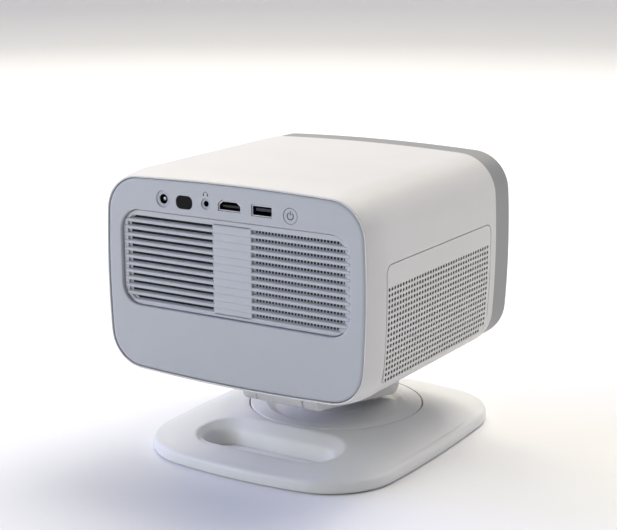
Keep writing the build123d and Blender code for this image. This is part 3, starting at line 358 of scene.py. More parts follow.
class Palette:
    """Finishes of the projector, each matched to the photograph."""

    SHELL = MouldedPlastic("warm_white_abs", "shell_white", "#dcdbd9", 0.5)
    BASE = MouldedPlastic("light_grey_abs", "base_white", "#e9e9e8", 0.46)
    # The turntable's plastic is the base's plastic painted a little lighter, painted light that lifts the
    # shade the head casts on the dish.
    DISC = MouldedPlastic("turntable_abs", "base_white", "#ededed", 0.42, 0.8, 0.008)
    ARM = MouldedPlastic("painted_casting", "arm_alloy", "#dadad9", 0.44, 1.1, 0.014)
    PANEL = MouldedPlastic("blue_grey_abs", "panel_grey", "#b5b8be", 0.55, 0.8, 0.01, 0.02)
    LOUVRE = MouldedPlastic("louvre_abs", "panel_grey", "#b9bcc3", 0.42, 0.8, 0.006, 0.02)
    RING = MouldedPlastic("mid_grey_abs", "ring_grey", "#959697", 0.5)
    BLACK = MouldedPlastic("black_moulding", "inner_black", "#0b0b0c", 0.6, 0.8, 0.01)
    SLIDE = MouldedPlastic("acetal_slide_ring", "slide_plastic", "#d9d7cf", 0.3, 1.2, 0.004)
    INK = MouldedPlastic("printed_mark", "inner_black", "#3a3d43", 0.5, 0.6, 0.002, 0.02)
    JACK = MouldedPlastic("jack_abs", "panel_grey", "#a9adb6", 0.35, 0.7, 0.004, 0.02)
    BLUE = MouldedPlastic("blue_black_moulding", "inner_black", "#0c1228", 0.35, 0.8, 0.004)
    BUTTON = MouldedPlastic("button_abs", "panel_grey", "#b2b6bf", 0.45, 0.8, 0.006, 0.02)
    WINDOW = GlossPlastic("smoked_window", "dark_gloss", "#07080a", 0.04)
    LAMP = MouldedPlastic("infrared_window", "dark_gloss", "#09090b", 0.3, 0.6, 0.002, 0.02, 0.12)
    PLATE = WorkedMetal("rolled_steel_plate", "steel_plate", "#8d8f92", 0.42, 0.7, (14.0, 1.0, 1.0))
    PIN = WorkedMetal("ground_steel_pin", "pin_steel", "#b9bbbe", 0.24, 0.5, (14.0, 1.0, 1.0))
    SOCKET = WorkedMetal("nickel_socket", "socket_metal", "#c3c4c6", 0.26, 0.5, (1.0, 1.0, 12.0))
    FIN = WorkedMetal("aluminium_fin", "fin_alloy", "#d2d4d7", 0.36, 0.5, (1.0, 1.0, 10.0))
    PIPE = WorkedMetal("copper_pipe", "pipe_copper", "#c77d54", 0.32, 0.5, (1.0, 12.0, 1.0))
    DRIVER = WorkedMetal("zinc_driver", "driver_steel", "#8a8c90", 0.38, 0.5, (10.0, 1.0, 1.0))
    RUBBER = SoftRubber("foot_rubber", "dark_rubber", "#17181a", 0.85, 0.7)
    CONE = SoftRubber("paper_cone", "inner_black", "#121214", 0.9, 1.2)
    CLOTH = SoftRubber("acoustic_cloth", "inner_black", "#101011", 0.95, 0.8)
    GLASS = CoatedGlass("coated_lens_glass", "optical_glass", "#1d3a3c")
    BOARD = CircuitBoard("solder_mask_board", "board_green", "#12462c")


# Outlines


@dataclass(frozen=True)
class Outline:
    """Closed outline of eight tangent arcs, symmetric left to right."""

    half_width: float
    widest: float
    side_radius: float
    top: float
    top_radius: float
    bottom: float
    bottom_radius: float
    corner: float

    def mixed(self, other: "Outline", share: float) -> "Outline":
        """Outline at a share of the way from this one to another, number by number."""
        pairs = zip(vars(self).values(), vars(other).values())
        return Outline(*(a * (1 - share) + b * share for a, b in pairs))

    def shrunk(self, inset: float) -> "Outline":
        """The outline moved inwards by an even step, with its radii cut by the same step."""
        signs = (-1, 0, -1, -1, -1, 1, -1, -1)
        return Outline(*(value + sign * inset for value, sign in zip(vars(self).values(), signs)))

    def corner_centre(self, end_centre: float, end_radius: float) -> Pair:
        """Centre of the corner arc inside both the side arc and an end arc.

        Args:
            end_centre: Height of the end arc's centre.
            end_radius: Radius of the end arc.

        Returns:
            The corner's centre.
        """
        side_x = self.half_width - self.side_radius
        side_reach = self.side_radius - self.corner
        end_reach = end_radius - self.corner
        across, along = -side_x, end_centre - self.widest
        gap = hypot(across, along)
        foot = (side_reach**2 - end_reach**2 + gap**2) / (2 * gap)
        rise = sqrt(side_reach**2 - foot**2)
        turn = 1 if end_centre < self.widest else -1
        x = side_x + (foot * across - turn * rise * along) / gap
        return x, self.widest + (foot * along + turn * rise * across) / gap

    def trace(self, inset: float = 0.0) -> list[Pair]:
        """Points round the outline, from the top middle over +X, moved inwards by an even step.

        Args:
            inset: Even step inwards.

        Returns:
            The same number of points in the same order for every outline.
        """
        top_centre, bottom_centre = self.top - self.top_radius, self.bottom + self.bottom_radius
        side = (self.half_width - self.side_radius, self.widest)
        upper = self.corner_centre(top_centre, self.top_radius)
        lower = self.corner_centre(bottom_centre, self.bottom_radius)
        bends = [
            pi / 2,
            atan2(upper[1] - top_centre, upper[0]),
            atan2(upper[1] - side[1], upper[0] - side[0]),
            atan2(lower[1] - side[1], lower[0] - side[0]),
            atan2(lower[1] - bottom_centre, lower[0]),
            -pi / 2,
        ]
        arcs = [
            ((0.0, top_centre), self.top_radius, 14),
            (upper, self.corner, 16),
            (side, self.side_radius, 26),
            (lower, self.corner, 16),
            ((0.0, bottom_centre), self.bottom_radius, 14),
        ]
        half: list[Pair] = []
        for (centre, radius, steps), first, last in zip(arcs, bends, bends[1:]):
            for step in range(steps):
                half.append(polar(centre, radius - inset, first + (last - first) * step / steps))
        half.append((0.0, self.bottom + inset))
        return half + [(-x, z) for x, z in half[-2:0:-1]]


def polar(centre: Pair, radius: float, angle: float) -> Pair:
    """Point at a radius and an angle from a centre."""
    return centre[0] + radius * cos(angle), centre[1] + radius * sin(angle)


def quarter(parts: int) -> list[Pair]:
    """Stations of a quarter bend of radius 1, as the way in and the way down, from the side to the face."""
    angles = [pi * i / (2 * parts) for i in range(parts + 1)]
    return [(1 - cos(a), 1 - sin(a)) for a in angles]


def eased(half: float, steps: Sequence[Pair]) -> list[Pair]:
    """Stations of a bar from -half to half, with steps of a way in and an inset at both ends."""
    ends = [(way - half, inset) for way, inset in steps]
    return ends + [(-along, inset) for along, inset in ends[::-1]]


def along_x(a: float, b: float, along: float) -> Triple:
    """Point of a section that stands square to X."""
    return along, a, b


def along_y(a: float, b: float, along: float) -> Triple:
    """Point of a section that stands square to Y."""
    return a, along, b


def level(loop: Iterable[Pair], z: float) -> list[Triple]:
    """Ring of a loop in plan at a height."""
    return [(x, y, z) for x, y in loop]


def upright(loop: Iterable[Pair], y: float) -> list[Triple]:
    """Ring of an upright loop at a place along Y."""
    return [(x, y, z) for x, z in loop]


HEAD = Outline(92.7, 119.7, 569.0, 180.2, 1503.0, 53.7, 1291.0, 25.5)
BASE = Outline(85.6, 0.0, 900.0, 103.5, 310.0, -103.5, 310.0, 46.0)

# Places that several pieces share
PORTS_Y = 102.7
SEAT_Y = 99.5
RING_JOINT_Y = -54.2
SWIVEL_Y = -15.3
LIFT_AT: Pair = (-44.0, 24.6)
LIFT_RADIUS = 8.0
COVER_AT: Pair = (19.15, 103.3)
VENT_AT: Pair = (0.0, 126.6)
DC_AT: Pair = (47.1, 164.1)
INFRARED_AT: Pair = (32.05, 163.55)
AUDIO_AT: Pair = (16.75, 164.3)
VIDEO_AT: Pair = (0.35, 164.5)
DATA_AT: Pair = (-21.65, 164.0)
BUTTON_AT: Pair = (-40.65, 163.3)


def rounded_rectangle(centre: Pair, width: float, height: float, corner: float, steps: int = 6) -> list[Pair]:
    """Points round a rounded rectangle, anticlockwise.

    Args:
        centre: Its middle.
        width: Size along the first axis.
        height: Size along the second axis.
        corner: Corner radius.
        steps: Parts of each corner.

    Returns:
        The points.
    """
    points: list[Pair] = []
    for turn, (sx, sy) in enumerate(((1, 1), (-1, 1), (-1, -1), (1, -1))):
        x = centre[0] + sx * (width / 2 - corner)
        y = centre[1] + sy * (height / 2 - corner)
        points += [polar((x, y), corner, pi / 2 * (turn + step / steps)) for step in range(steps + 1)]
    return points


def video_loop(grow: float) -> list[Pair]:
    """Points round the video socket, with its upper corners cut off.

    Args:
        grow: Even step outwards.

    Returns:
        The points, anticlockwise.
    """
    reach, rise = 7.6 + grow, 2.9 + grow
    half = [(reach, -rise), (reach, rise - 2.0), (reach - 2.4, rise)]
    return [(VIDEO_AT[0] + a, VIDEO_AT[1] + b) for a, b in [*half, *[(-a, b) for a, b in half[::-1]]]]


def circle(centre: Pair, radius: float, steps: int = 40) -> list[Pair]:
    """Points round a circle, anticlockwise."""
    return [polar(centre, radius, 2 * pi * step / steps) for step in range(steps)]


def grown_circle(centre: Pair, radius: float, grow: float) -> list[Pair]:
    """Points round a circle moved outwards by an even step."""
    return circle(centre, radius + grow)


def grown_rectangle(centre: Pair, size: Pair, corner: float, steps: int, grow: float) -> list[Pair]:
    """Points round a rounded rectangle moved outwards by an even step."""
    width, height = (side + 2 * grow for side in size)
    return rounded_rectangle(centre, width, height, corner + grow, steps)


def divided(loop: Sequence[Pair], step: float) -> list[Pair]:
    """Add points to the long sides of a loop.

    Args:
        loop: Points of a closed loop.
        step: Longest side that stays whole.

    Returns:
        The loop with its long sides divided.
    """
    points: list[Pair] = []
    for (ax, ay), (bx, by) in zip(loop, [*loop[1:], loop[0]]):
        parts = max(1, round(hypot(bx - ax, by - ay) / step))
        points += [(ax + (bx - ax) * i / parts, ay + (by - ay) * i / parts) for i in range(parts)]
    return points


def area(loop: Sequence[Sequence[float]]) -> float:
    """Area of a flat polygon."""
    return abs(sum(a[0] * b[1] - a[1] * b[0] for a, b in zip(loop, [*loop[1:], loop[0]]))) / 2


def inside(points: np.ndarray, loop: Sequence[Pair]) -> np.ndarray:
    """Tell which points lie inside a loop.

    Args:
        points: Array of points, one row each.
        loop: Points of a closed loop.

    Returns:
        One truth value for each point.
    """
    a = np.array(loop)
    b = np.roll(a, -1, axis=0)
    x, y = points[:, :1], points[:, 1:]
    crosses = (a[:, 1] > y) != (b[:, 1] > y)
    run = b[:, 1] - a[:, 1]
    at = a[:, 0] + (y - a[:, 1]) * (b[:, 0] - a[:, 0]) / np.where(run == 0, 1e-12, run)
    return (np.sum(crosses & (x < at), axis=1) % 2) == 1


def between(points: np.ndarray, rim: Sequence[Pair], holes: Sequence[Sequence[Pair]]) -> np.ndarray:
    """Tell which points lie inside a rim and outside all its holes."""
    return inside(points, rim) & ~np.any([inside(points, hole) for hole in holes], axis=0)


def lattice_points(low: Pair, high: Pair, step: float) -> list[Pair]:
    """Even grid of points strictly between two corners.

    Args:
        low: Lowest corner.
        high: Highest corner.
        step: Largest distance between neighbours.

    Returns:
        The points.
    """
    counts = [max(2, round((h - l) / step)) for l, h in zip(low, high)]
    xs = [low[0] + (high[0] - low[0]) * i / counts[0] for i in range(1, counts[0])]
    ys = [low[1] + (high[1] - low[1]) * i / counts[1] for i in range(1, counts[1])]
    return [(x, y) for x in xs for y in ys]


# Meshes


class Draft:
    """Corners and faces of one piece while it is being made, in millimetres."""

    def __init__(self) -> None:
        """Start with nothing."""
        self.points: list[Triple] = []
        self.faces: list[tuple[int, ...]] = []

    def skin(self, rings: Sequence[Sequence[Triple]], closed: bool = True, loop: bool = False) -> "Draft":
        """Join rings of equal length with quads.

        Args:
            rings: Rings of points.
            closed: Whether each ring closes on itself.
            loop: Whether the last ring joins the first.

        Returns:
            This draft.
        """
        start, size = len(self.points), len(rings[0])
        for ring in rings:
            self.points += list(ring)
        pairs = list(zip(range(len(rings)), range(1, len(rings))))
        if loop:
            pairs.append((len(rings) - 1, 0))
        for low, high in pairs:
            for i in range(size if closed else size - 1):
                j = (i + 1) % size
                corners = (low * size + i, low * size + j, high * size + j, high * size + i)
                self.faces.append(tuple(start + c for c in corners))
        return self

    def fill(
        self,
        rim: Sequence[Pair],
        holes: Sequence[Sequence[Pair]],
        inner: Iterable[Pair],
        lift: Lift,
        margin: float = 0.8,
    ) -> "Draft":
        """Fill a rim round its holes with triangles, lifted into space.

        Args:
            rim: Outer loop in the plane.
            holes: Loops that stay open.
            inner: Points wished for between the loops.
            lift: Turns a point of the plane into a point of space.
            margin: Inner points nearer to a loop than this are left out.

        Returns:
            This draft.
        """
        corners: list[Pair] = []
        edges: list[tuple[int, int]] = []
        for ring in (rim, *holes):
            start, count = len(corners), len(ring)
            corners += list(ring)
            edges += [(start + i, start + (i + 1) % count) for i in range(count)]
        wished = np.array(list(inner) or [rim[0]], float)
        wished = wished[between(wished, rim, holes)]
        if len(wished):
            fixed = np.array(corners)
            nearest = np.min(np.hypot(*(wished[:, None, :] - fixed[None, :, :]).transpose(2, 0, 1)), axis=1)
            corners += [tuple(p) for p in wished[nearest > margin]]
        flat, _, faces, *_ = delaunay_2d_cdt([Vector(c) for c in corners], edges, [], 0, 1e-6)
        middles = np.array([np.mean([flat[i] for i in face], axis=0) for face in faces])
        start = len(self.points)
        self.points += [lift(p.x, p.y) for p in flat]
        for face, kept in zip(faces, between(middles, rim, holes)):
            if kept and area([flat[i] for i in face]) > SLIVER_MM2:
                self.faces.append(tuple(start + i for i in face))
        return self

    def prism(self, loop: Sequence[Pair], sections: Sequence[Pair], lift: Callable[..., Triple]) -> "Draft":
        """Closed bar with a convex loop as its section, drawn in at some of its stations.

        Args:
            loop: Section of the bar.
            sections: Place along the bar and inset of the section there.
            lift: Turns a point of the section and a place along the bar into a point of space.

        Returns:
            This draft.
        """
        rings = [[lift(a, b, along) for a, b in drawn_in(loop, inset)] for along, inset in sections]
        self.skin(rings)
        for along, inset in (sections[0], sections[-1]):
            self.fill(drawn_in(loop, inset), [], [], lambda a, b, w=along: lift(a, b, w))
        return self

    def lathe(self, profile: Sequence[Pair], centre: Triple, axis: str = "Z", steps: int = 96) -> "Draft":
        """Turn a closed profile of radius and height about an axis.

        Args:
            profile: Radius and place along the axis of each corner.
            centre: Point on the axis at a place of 0.
            axis: X, Y or Z.
            steps: Parts of the turn.

        Returns:
            This draft.
        """
        order = {"Z": (0, 1, 2), "Y": (2, 0, 1), "X": (1, 2, 0)}[axis]
        rings = []
        for radius, along in profile:
            ring = []
            for step in range(steps):
                angle = 2 * pi * step / steps
                turned = (radius * cos(angle), radius * sin(angle), along)
                ring.append(tuple(centre[i] + turned[order.index(i)] for i in range(3)))
            rings.append(ring)
        return self.skin(rings, loop=True)

    def join(self, other: "Draft") -> "Draft":
        """Add another draft.

        Args:
            other: Draft to add.

        Returns:
            This draft.
        """
        start = len(self.points)
        self.points += other.points
        self.faces += [tuple(start + i for i in face) for face in other.faces]
        return self

    def mirrored(self) -> "Draft":
        """Turn the draft over to the other side of the head.

        Returns:
            This draft.
        """
        self.points = [(-x, y, z) for x, y, z in self.points]
        self.faces = [face[::-1] for face in self.faces]
        return self

    def place(
        self,
        name: str,
        body: Body,
        finish: Finish,
        stands_for: Sequence[str] = (),
        crease: float = 38.0,
    ) -> None:
        """Merge doubles, turn the faces outwards, and put the piece on its body in metres.

        Args:
            name: Name of the piece.
            body: Body that it rides on.
            finish: Its finish.
            stands_for: CAD nodes that it replaces.
            crease: Edges that bend more than this many degrees stay sharp.
        """
        mesh = bpy.data.meshes.new(name)
        mesh.from_pydata(self.points, [], self.faces)
        work = bmesh.new()
        work.from_mesh(mesh)
        bmesh.ops.remove_doubles(work, verts=work.verts, dist=DOUBLES_MM)
        bmesh.ops.dissolve_degenerate(work, edges=work.edges, dist=DOUBLES_MM / 4)
        bmesh.ops.recalc_face_normals(work, faces=work.faces)
        bmesh.ops.scale(work, vec=Vector((0.001, 0.001, 0.001)), verts=work.verts)
        work.to_mesh(mesh)
        work.free()
        mesh.shade_smooth()
        mesh.set_sharp_from_angle(angle=radians(crease))
        piece = bpy.data.objects.new(name, mesh)
        bpy.context.scene.collection.objects.link(piece)
        mesh.materials.append(finish.material())
        piece.modifiers.new("even_shading", "WEIGHTED_NORMAL").keep_sharp = True
        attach(piece, body.value)
        if stands_for:
            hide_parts(*stands_for)
        replaced = ", ".join(stands_for) or "itself"
        LOG.info("%s: %d faces on %s, for %s", name, len(mesh.polygons), body.value, replaced)


def drawn_in(loop: Sequence[Pair], inset: float) -> list[Pair]:
    """Move a loop inwards by an even step.

    Args:
        loop: Points of a smooth closed loop, anticlockwise.
        inset: Step inwards.

    Returns:
        The moved points.
    """
    if inset == 0:
        return list(loop)
    moved: list[Pair] = []
    for before, here, after in zip([loop[-1], *loop[:-1]], loop, [*loop[1:], loop[0]]):
        one = Vector((here[0] - before[0], here[1] - before[1])).normalized()
        two = Vector((after[0] - here[0], after[1] - here[1])).normalized()
        normal = Vector((-(one.y + two.y), one.x + two.x)).normalized()
        reach = inset / max(0.5, normal.dot(Vector((-two.y, two.x))))
        moved.append((here[0] + normal.x * reach, here[1] + normal.y * reach))
    return moved


def dress_nodes(finish: Finish, *names: str) -> None:
    """Give CAD nodes that keep their own shape a finish.

    Args:
        finish: The finish.
        names: The nodes.
    """
    for name in names:
        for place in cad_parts[name].material_slots:
            place.material = finish.material()
        LOG.info("%s keeps its shape, in %s", name, finish.name)


# Geometry Nodes


class Growth:
    """A Geometry Nodes tree with named inputs, which ends in Realize Instances and Set Material."""

    def __init__(self, name: str, **inputs: Sequence[str]) -> None:
        """Start the tree.

        Args:
            name: Name of the tree.
            inputs: Names of the inputs of each kind, such as Float or Int.
        """
        self.tree = bpy.data.node_groups.new(name, "GeometryNodeTree")
        self.tree.interface.new_socket("Geometry", in_out="OUTPUT", socket_type="NodeSocketGeometry")
        for kind, labels in {**inputs, "Material": ("Finish",)}.items():
            for label in labels:
                self.tree.interface.new_socket(label, in_out="INPUT", socket_type=f"NodeSocket{kind}")
        self.given = add_node(self.tree, "NodeGroupInput").outputs

    def add(self, kind: str, inputs: Inputs | None = None, **settings: Any) -> bpy.types.NodeSocket:
        """Add a node of a kind to the tree, with its inputs and settings, and give its first output."""
        return add_node(self.tree, kind, settings, inputs).outputs[0]

    def formula(self, operation: str, *terms: Any) -> bpy.types.NodeSocket:
        """Work out a formula whose terms are numbers, sockets or inner formulas, written as tuples."""
        ready = [self.formula(*term) if isinstance(term, tuple) else term for term in terms]
        return self.add("ShaderNodeMath", dict(enumerate(ready)), operation=operation)

    def finish(self, geometry: bpy.types.NodeSocket) -> None:
        """End the tree.

        Args:
            geometry: What has grown.
        """
        real = self.add("GeometryNodeRealizeInstances", {0: geometry})
        merged = self.add("GeometryNodeMergeByDistance", {0: real, "Distance": DOUBLES_MM})
        dressed = self.add("GeometryNodeSetMaterial", {0: merged, "Material": self.given["Finish"]})
        add_node(self.tree, "NodeGroupOutput", None, {0: dressed})

    def grow(self, finish: Finish, **values: Any) -> Draft:
        """Evaluate the tree.

        Args:
            finish: Finish of the result.
            values: Value of each named input, with _ for each space.

        Returns:
            What has grown, in millimetres.
        """
        holder = bpy.data.objects.new(self.tree.name, bpy.data.meshes.new(self.tree.name))
        bpy.context.scene.collection.objects.link(holder)
        modifier = holder.modifiers.new("growth", "NODES")
        modifier.node_group = self.tree
        wanted = {name.replace("_", " "): value for name, value in values.items()}
        wanted["Finish"] = finish.material()
        for item in self.tree.interface.items_tree:
            if item.in_out == "INPUT" and item.name in wanted:
                modifier[item.identifier] = wanted[item.name]
        ready = holder.evaluated_get(bpy.context.evaluated_depsgraph_get())
        mesh = bpy.data.meshes.new_from_object(ready)
        draft = Draft()
        draft.points = [tuple(v.co) for v in mesh.vertices]
        draft.faces = [tuple(p.vertices) for p in mesh.polygons]
        empty = holder.data
        bpy.data.objects.remove(holder)
        for spent in (empty, mesh):
            bpy.data.meshes.remove(spent)
        return draft


def lattice_growth() -> Growth:
    """Tree that repeats one part in columns and rows.

    Returns:
        The tree.
    """
    steps = ("Column Step", "Row Step", "Start")
    made = Growth("lattice", Object=("Part",), Int=("Columns", "Rows"), Vector=steps)
    given = made.given
    part = made.add("GeometryNodeObjectInfo", {"Object": given["Part"]}).node.outputs["Geometry"]
    for count, step in (("Rows", "Row Step"), ("Columns", "Column Step")):
        line = made.add("GeometryNodeMeshLine", {"Count": given[count], "Offset": given[step]})
        part = made.add("GeometryNodeInstanceOnPoints", {"Points": line, "Instance": part})
    made.finish(made.add("GeometryNodeTransform", {0: part, "Translation": given["Start"]}))
    return made


@dataclass(frozen=True)
class Lattice:
    """Even rows and columns of one small part."""

    columns: int
    rows: int
    column_step: Triple
    row_step: Triple
    start: Triple

    def grow(self, growth: Growth, part: Draft, finish: Finish) -> Draft:
        """Repeat a part.

        Args:
            growth: The lattice tree.
            part: The part about the origin, in millimetres.
            finish: Finish of the result.

        Returns:
            The repeated part, in millimetres.
        """
        pattern_mesh = bpy.data.meshes.new("pattern")
        pattern_mesh.from_pydata(part.points, [], part.faces)
        pattern = bpy.data.objects.new("pattern", pattern_mesh)
        steps = {name.title(): value for name, value in vars(self).items()}
        draft = growth.grow(finish, Part=pattern, **steps)
        bpy.data.objects.remove(pattern)
        bpy.data.meshes.remove(pattern_mesh)
        return draft


# The stand


@dataclass
class Base:
    """Domed base with its hand slot, bottom plate and feet."""

    plate_top: float = 2.5
    wall_top: float = 5.6
    crest_inset: float = 4.6
    crest_height: float = 8.6
    crown_height: float = 15.8
    swivel_y: float = SWIVEL_Y
    crown_radius: float = 58.4
    bore_radius: float = 56.4
    shelf_top: float = 7.8
    hole_radius: float = 12.0
    wall: float = 3.0
    ceiling: float = 5.5
    foot_z: float = 2.6
    slot_y: float = 65.0
    slot_run: float = 29.5
    slot_reach: float = 19.5
    slot_edge_z: float = 12.3
    slot_slope: float = 4 / 3
    lip_out: float = 2.4
    lip_in: Pair = (1.1, 1.25)
    screw_places: Pair = (96.0, 132.0)
    screw_z: float = 0.95
    slot_wall: tuple[Pair, ...] = (
        *((-3.0, 10.6), (-4.2, 9.5), (-5.1, 8.0), (-5.8, 5.5)),
        *((-6.5, 3.0), (-7.3, 0.3), (-6.7, 0.3), (-6.2, 0.9)),
    )
    rim_profile: tuple[Pair, ...] = ((0.0, 0.0), (0.14, 0.52), (0.5, 0.86), (1.0, 1.0))
    dome_profile: tuple[Pair, ...] = ((0.0, 0.0), (0.12, 0.24), (0.33, 0.52), (0.66, 0.84), (1.0, 1.0))

    def crown(self) -> Outline:
        """Nearly round outline where the dome meets the bearing recess."""
        r, y = self.crown_radius, self.swivel_y
        return Outline(r, y, r + 3.0, y + r, r + 3.0, y - r, r + 3.0, r - 5.0)

    def rings(self) -> list[list[Triple]]:
        """Rings of the top skin from its outer wall to the recess, on smooth profiles.

        Returns:
            The rings, each with the same number of points.
        """
        crest = BASE.shrunk(self.crest_inset)
        made = [level(BASE.trace(), self.plate_top)]
        for step in range(9):
            way, rise = smooth_profile(self.rim_profile, step / 8)
            z = self.wall_top + rise * (self.crest_height - self.wall_top)
            made.append(level(BASE.mixed(crest, way).trace(), z))
        for step in range(1, 29):
            way, rise = smooth_profile(self.dome_profile, step / 28)
            z = self.crest_height + rise * (self.crown_height - self.crest_height)
            made.append(level(crest.mixed(self.crown(), way).trace(), z))
        return made

    def slot_ring(self, reach: float) -> list[Pair]:
        """Rounded slot in plan at a reach from its spine.

        Args:
            reach: Distance from the spine.

        Returns:
            Points round it, the same number for every reach.
        """
        points = []
        for side, first in ((1, -pi / 2), (-1, pi / 2)):
            centre = (side * self.slot_run, self.slot_y)
            points += [polar(centre, reach, first + pi * step / 24) for step in range(25)]
        loop: list[Pair] = []
        for (ax, ay), (bx, by) in zip(points, [*points[1:], points[0]]):
            parts = 12 if abs(ax - bx) > self.slot_run else 1
            loop += [(ax + (bx - ax) * i / parts, ay + (by - ay) * i / parts) for i in range(parts)]
        return loop

    def top(self) -> Draft:
        """Skin, slot walls and recess as one closed shell.

        Returns:
            The base cover.
        """
        rings = self.rings()
        draft = Draft().skin(rings[:10])
        size = len(rings[0])
        corners = [Vector(p) for ring in rings for p in ring]
        quads = [
            (k * size + i, k * size + (i + 1) % size, (k + 1) * size + (i + 1) % size, (k + 1) * size + i)
            for k in range(9, len(rings) - 1)
            for i in range(size)
        ]
        dome = BVHTree.FromPolygons(corners, quads)

        def height(x: float, y: float) -> float:
            """Height of the dome over a place in plan.

            Args:
                x: Place along X.
                y: Place along Y.

            Returns:
                The height.
            """
            if hypot(x, y - self.swivel_y) < self.crown_radius - 0.3:
                return self.crown_height
            for nudge in (0.0, 0.01, -0.013):
                hit = dome.ray_cast(Vector((x + nudge, y + nudge, 60.0)), Vector((0, 0, -1)))[0]
                if hit:
                    return hit.z
            return self.crown_height

        near, far = self.slot_ring(self.slot_reach), self.slot_ring(self.slot_reach + 1)
        lip = [self.lip_point(a, b, height) for a, b in zip(near, far)]
        slot_rim = [(p[0][0], p[0][1]) for p in lip]
        draft.skin([[p[k] for p in lip] for k in range(len(lip[0]))])
        centre = (0.0, self.swivel_y)
        recess_rim = circle(centre, self.bore_radius + 0.5, 120)
        crest_rim = [(x, y) for x, y, _ in rings[9]]
        inner = lattice_points((-84, -102), (84, 102), 2.8)
        edge = {(round(x, 4), round(y, 4)): z for x, y, z in rings[9]}

        def lift(x: float, y: float) -> Triple:
            """Place on the dome over a place in plan."""
            known = edge.get((round(x, 4), round(y, 4)))
            return x, y, known if known is not None else height(x, y)

        draft.fill(crest_rim, [slot_rim, recess_rim], inner, lift, 1.2)
        bore = self.bore_radius
        profile = [
            (bore + 0.5, self.crown_height),
            (bore + 0.15, self.crown_height - 0.12),
            (bore, self.crown_height - 0.5),
            (bore, self.shelf_top),
            (self.hole_radius, self.shelf_top),
            (self.hole_radius, self.ceiling),
        ]
        draft.skin([level(circle(centre, r, 120), z) for r, z in profile])
        under = [(0.0, self.plate_top), (self.wall, self.plate_top), (self.wall, self.ceiling)]
        draft.skin([level(BASE.trace(inset), z) for inset, z in under])
        foot = self.slot_ring(self.slot_reach - 1.0)
        draft.skin([level(foot, z) for z in (self.ceiling, self.foot_z)])
        holes = [foot, circle(centre, self.hole_radius, 120)]
        draft.fill(BASE.trace(self.wall), holes, [], lambda x, y: (x, y, self.ceiling))
        return draft

    def lip_point(self, near: Pair, far: Pair, height: Callable[[float, float], float]) -> list[Triple]:
        """Points down the slot's wall at one place on its edge, over a softly rounded lip.

        Args:
            near: Place in plan at the slot's reach.
            far: The same place one millimetre further out.
            height: Height of the dome in plan.

        Returns:
            Points from the dome down to the underside.
        """
        way = (far[0] - near[0], far[1] - near[1])

        def plan(out: float) -> Pair:
            """Place in plan at a distance outside the slot's reach."""
            return near[0] + way[0] * out, near[1] + way[1] * out

        low, high = -1.0, 4.0
        for _ in range(24):
            out = (low + high) / 2
            if self.slot_edge_z + out * self.slot_slope < height(*plan(out)):
                low = out
            else:
                high = out
        edge_z = height(*plan(out))
        start = plan(out + self.lip_out)
        corner = Vector((*plan(out), edge_z))
        first = Vector((*start, height(*start)))
        second = Vector((*plan(out - self.lip_in[0]), edge_z - self.lip_in[1]))
        points = []
        for step in range(7):
            t = step / 6
            mixed = first * (1 - t) ** 2 + corner * 2 * t * (1 - t) + second * t**2
            points.append(tuple(mixed))
        return points + [(*plan(step), z) for step, z in self.slot_wall]

    def build(self, lattice: Growth) -> None:
        """Make and dress the base.

        Args:
            lattice: Tree for the screws.
        """
        self.top().place("base_cover_skin", Body.BASE, Palette.BASE, ["base_shell"])
        head = [(0.01, 0.0), (3.1, 0.0), (3.1, -0.35), (2.7, -0.6), (1.3, -0.6), (1.2, -0.05), (0.01, -0.05)]
        screw = Draft().lathe(head, (0, 0, 0), steps=24)
        across, along = self.screw_places
        places = Lattice(2, 2, (across, 0, 0), (0, along, 0), (-across / 2, -along / 2, self.screw_z))
        places.grow(lattice, screw, Palette.PIN).place("base_screws", Body.BASE, Palette.PIN)
        dress_nodes(Palette.BASE, "base_plate")
        dress_nodes(Palette.PLATE, "base_weight")
        dress_nodes(Palette.RUBBER, "foot_pads")
        dress_nodes(Palette.PIN, "swivel_spindle")
        dress_nodes(Palette.SLIDE, "swivel_slip_ring")


def smooth_profile(stations: Sequence[Pair], share: float) -> Pair:
    """Point on a smooth curve through the stations of a profile.

    Args:
        stations: Way in and rise of each station.
        share: Place along the profile from 0 to 1.

    Returns:
        Way in and rise.
    """
    span = share * (len(stations) - 1)
    k = min(int(span), len(stations) - 2)
    t = span - k
    before, here = stations[max(k - 1, 0)], stations[k]
    after, last = stations[k + 1], stations[min(k + 2, len(stations) - 1)]
    found = []
    for a, b, c, d in zip(before, here, after, last):
        square, cube = 2 * a - 5 * b + 4 * c - d, 3 * b - a - 3 * c + d
        found.append(0.5 * (2 * b + (c - a) * t + square * t**2 + cube * t**3))
    return found[0], found[1]


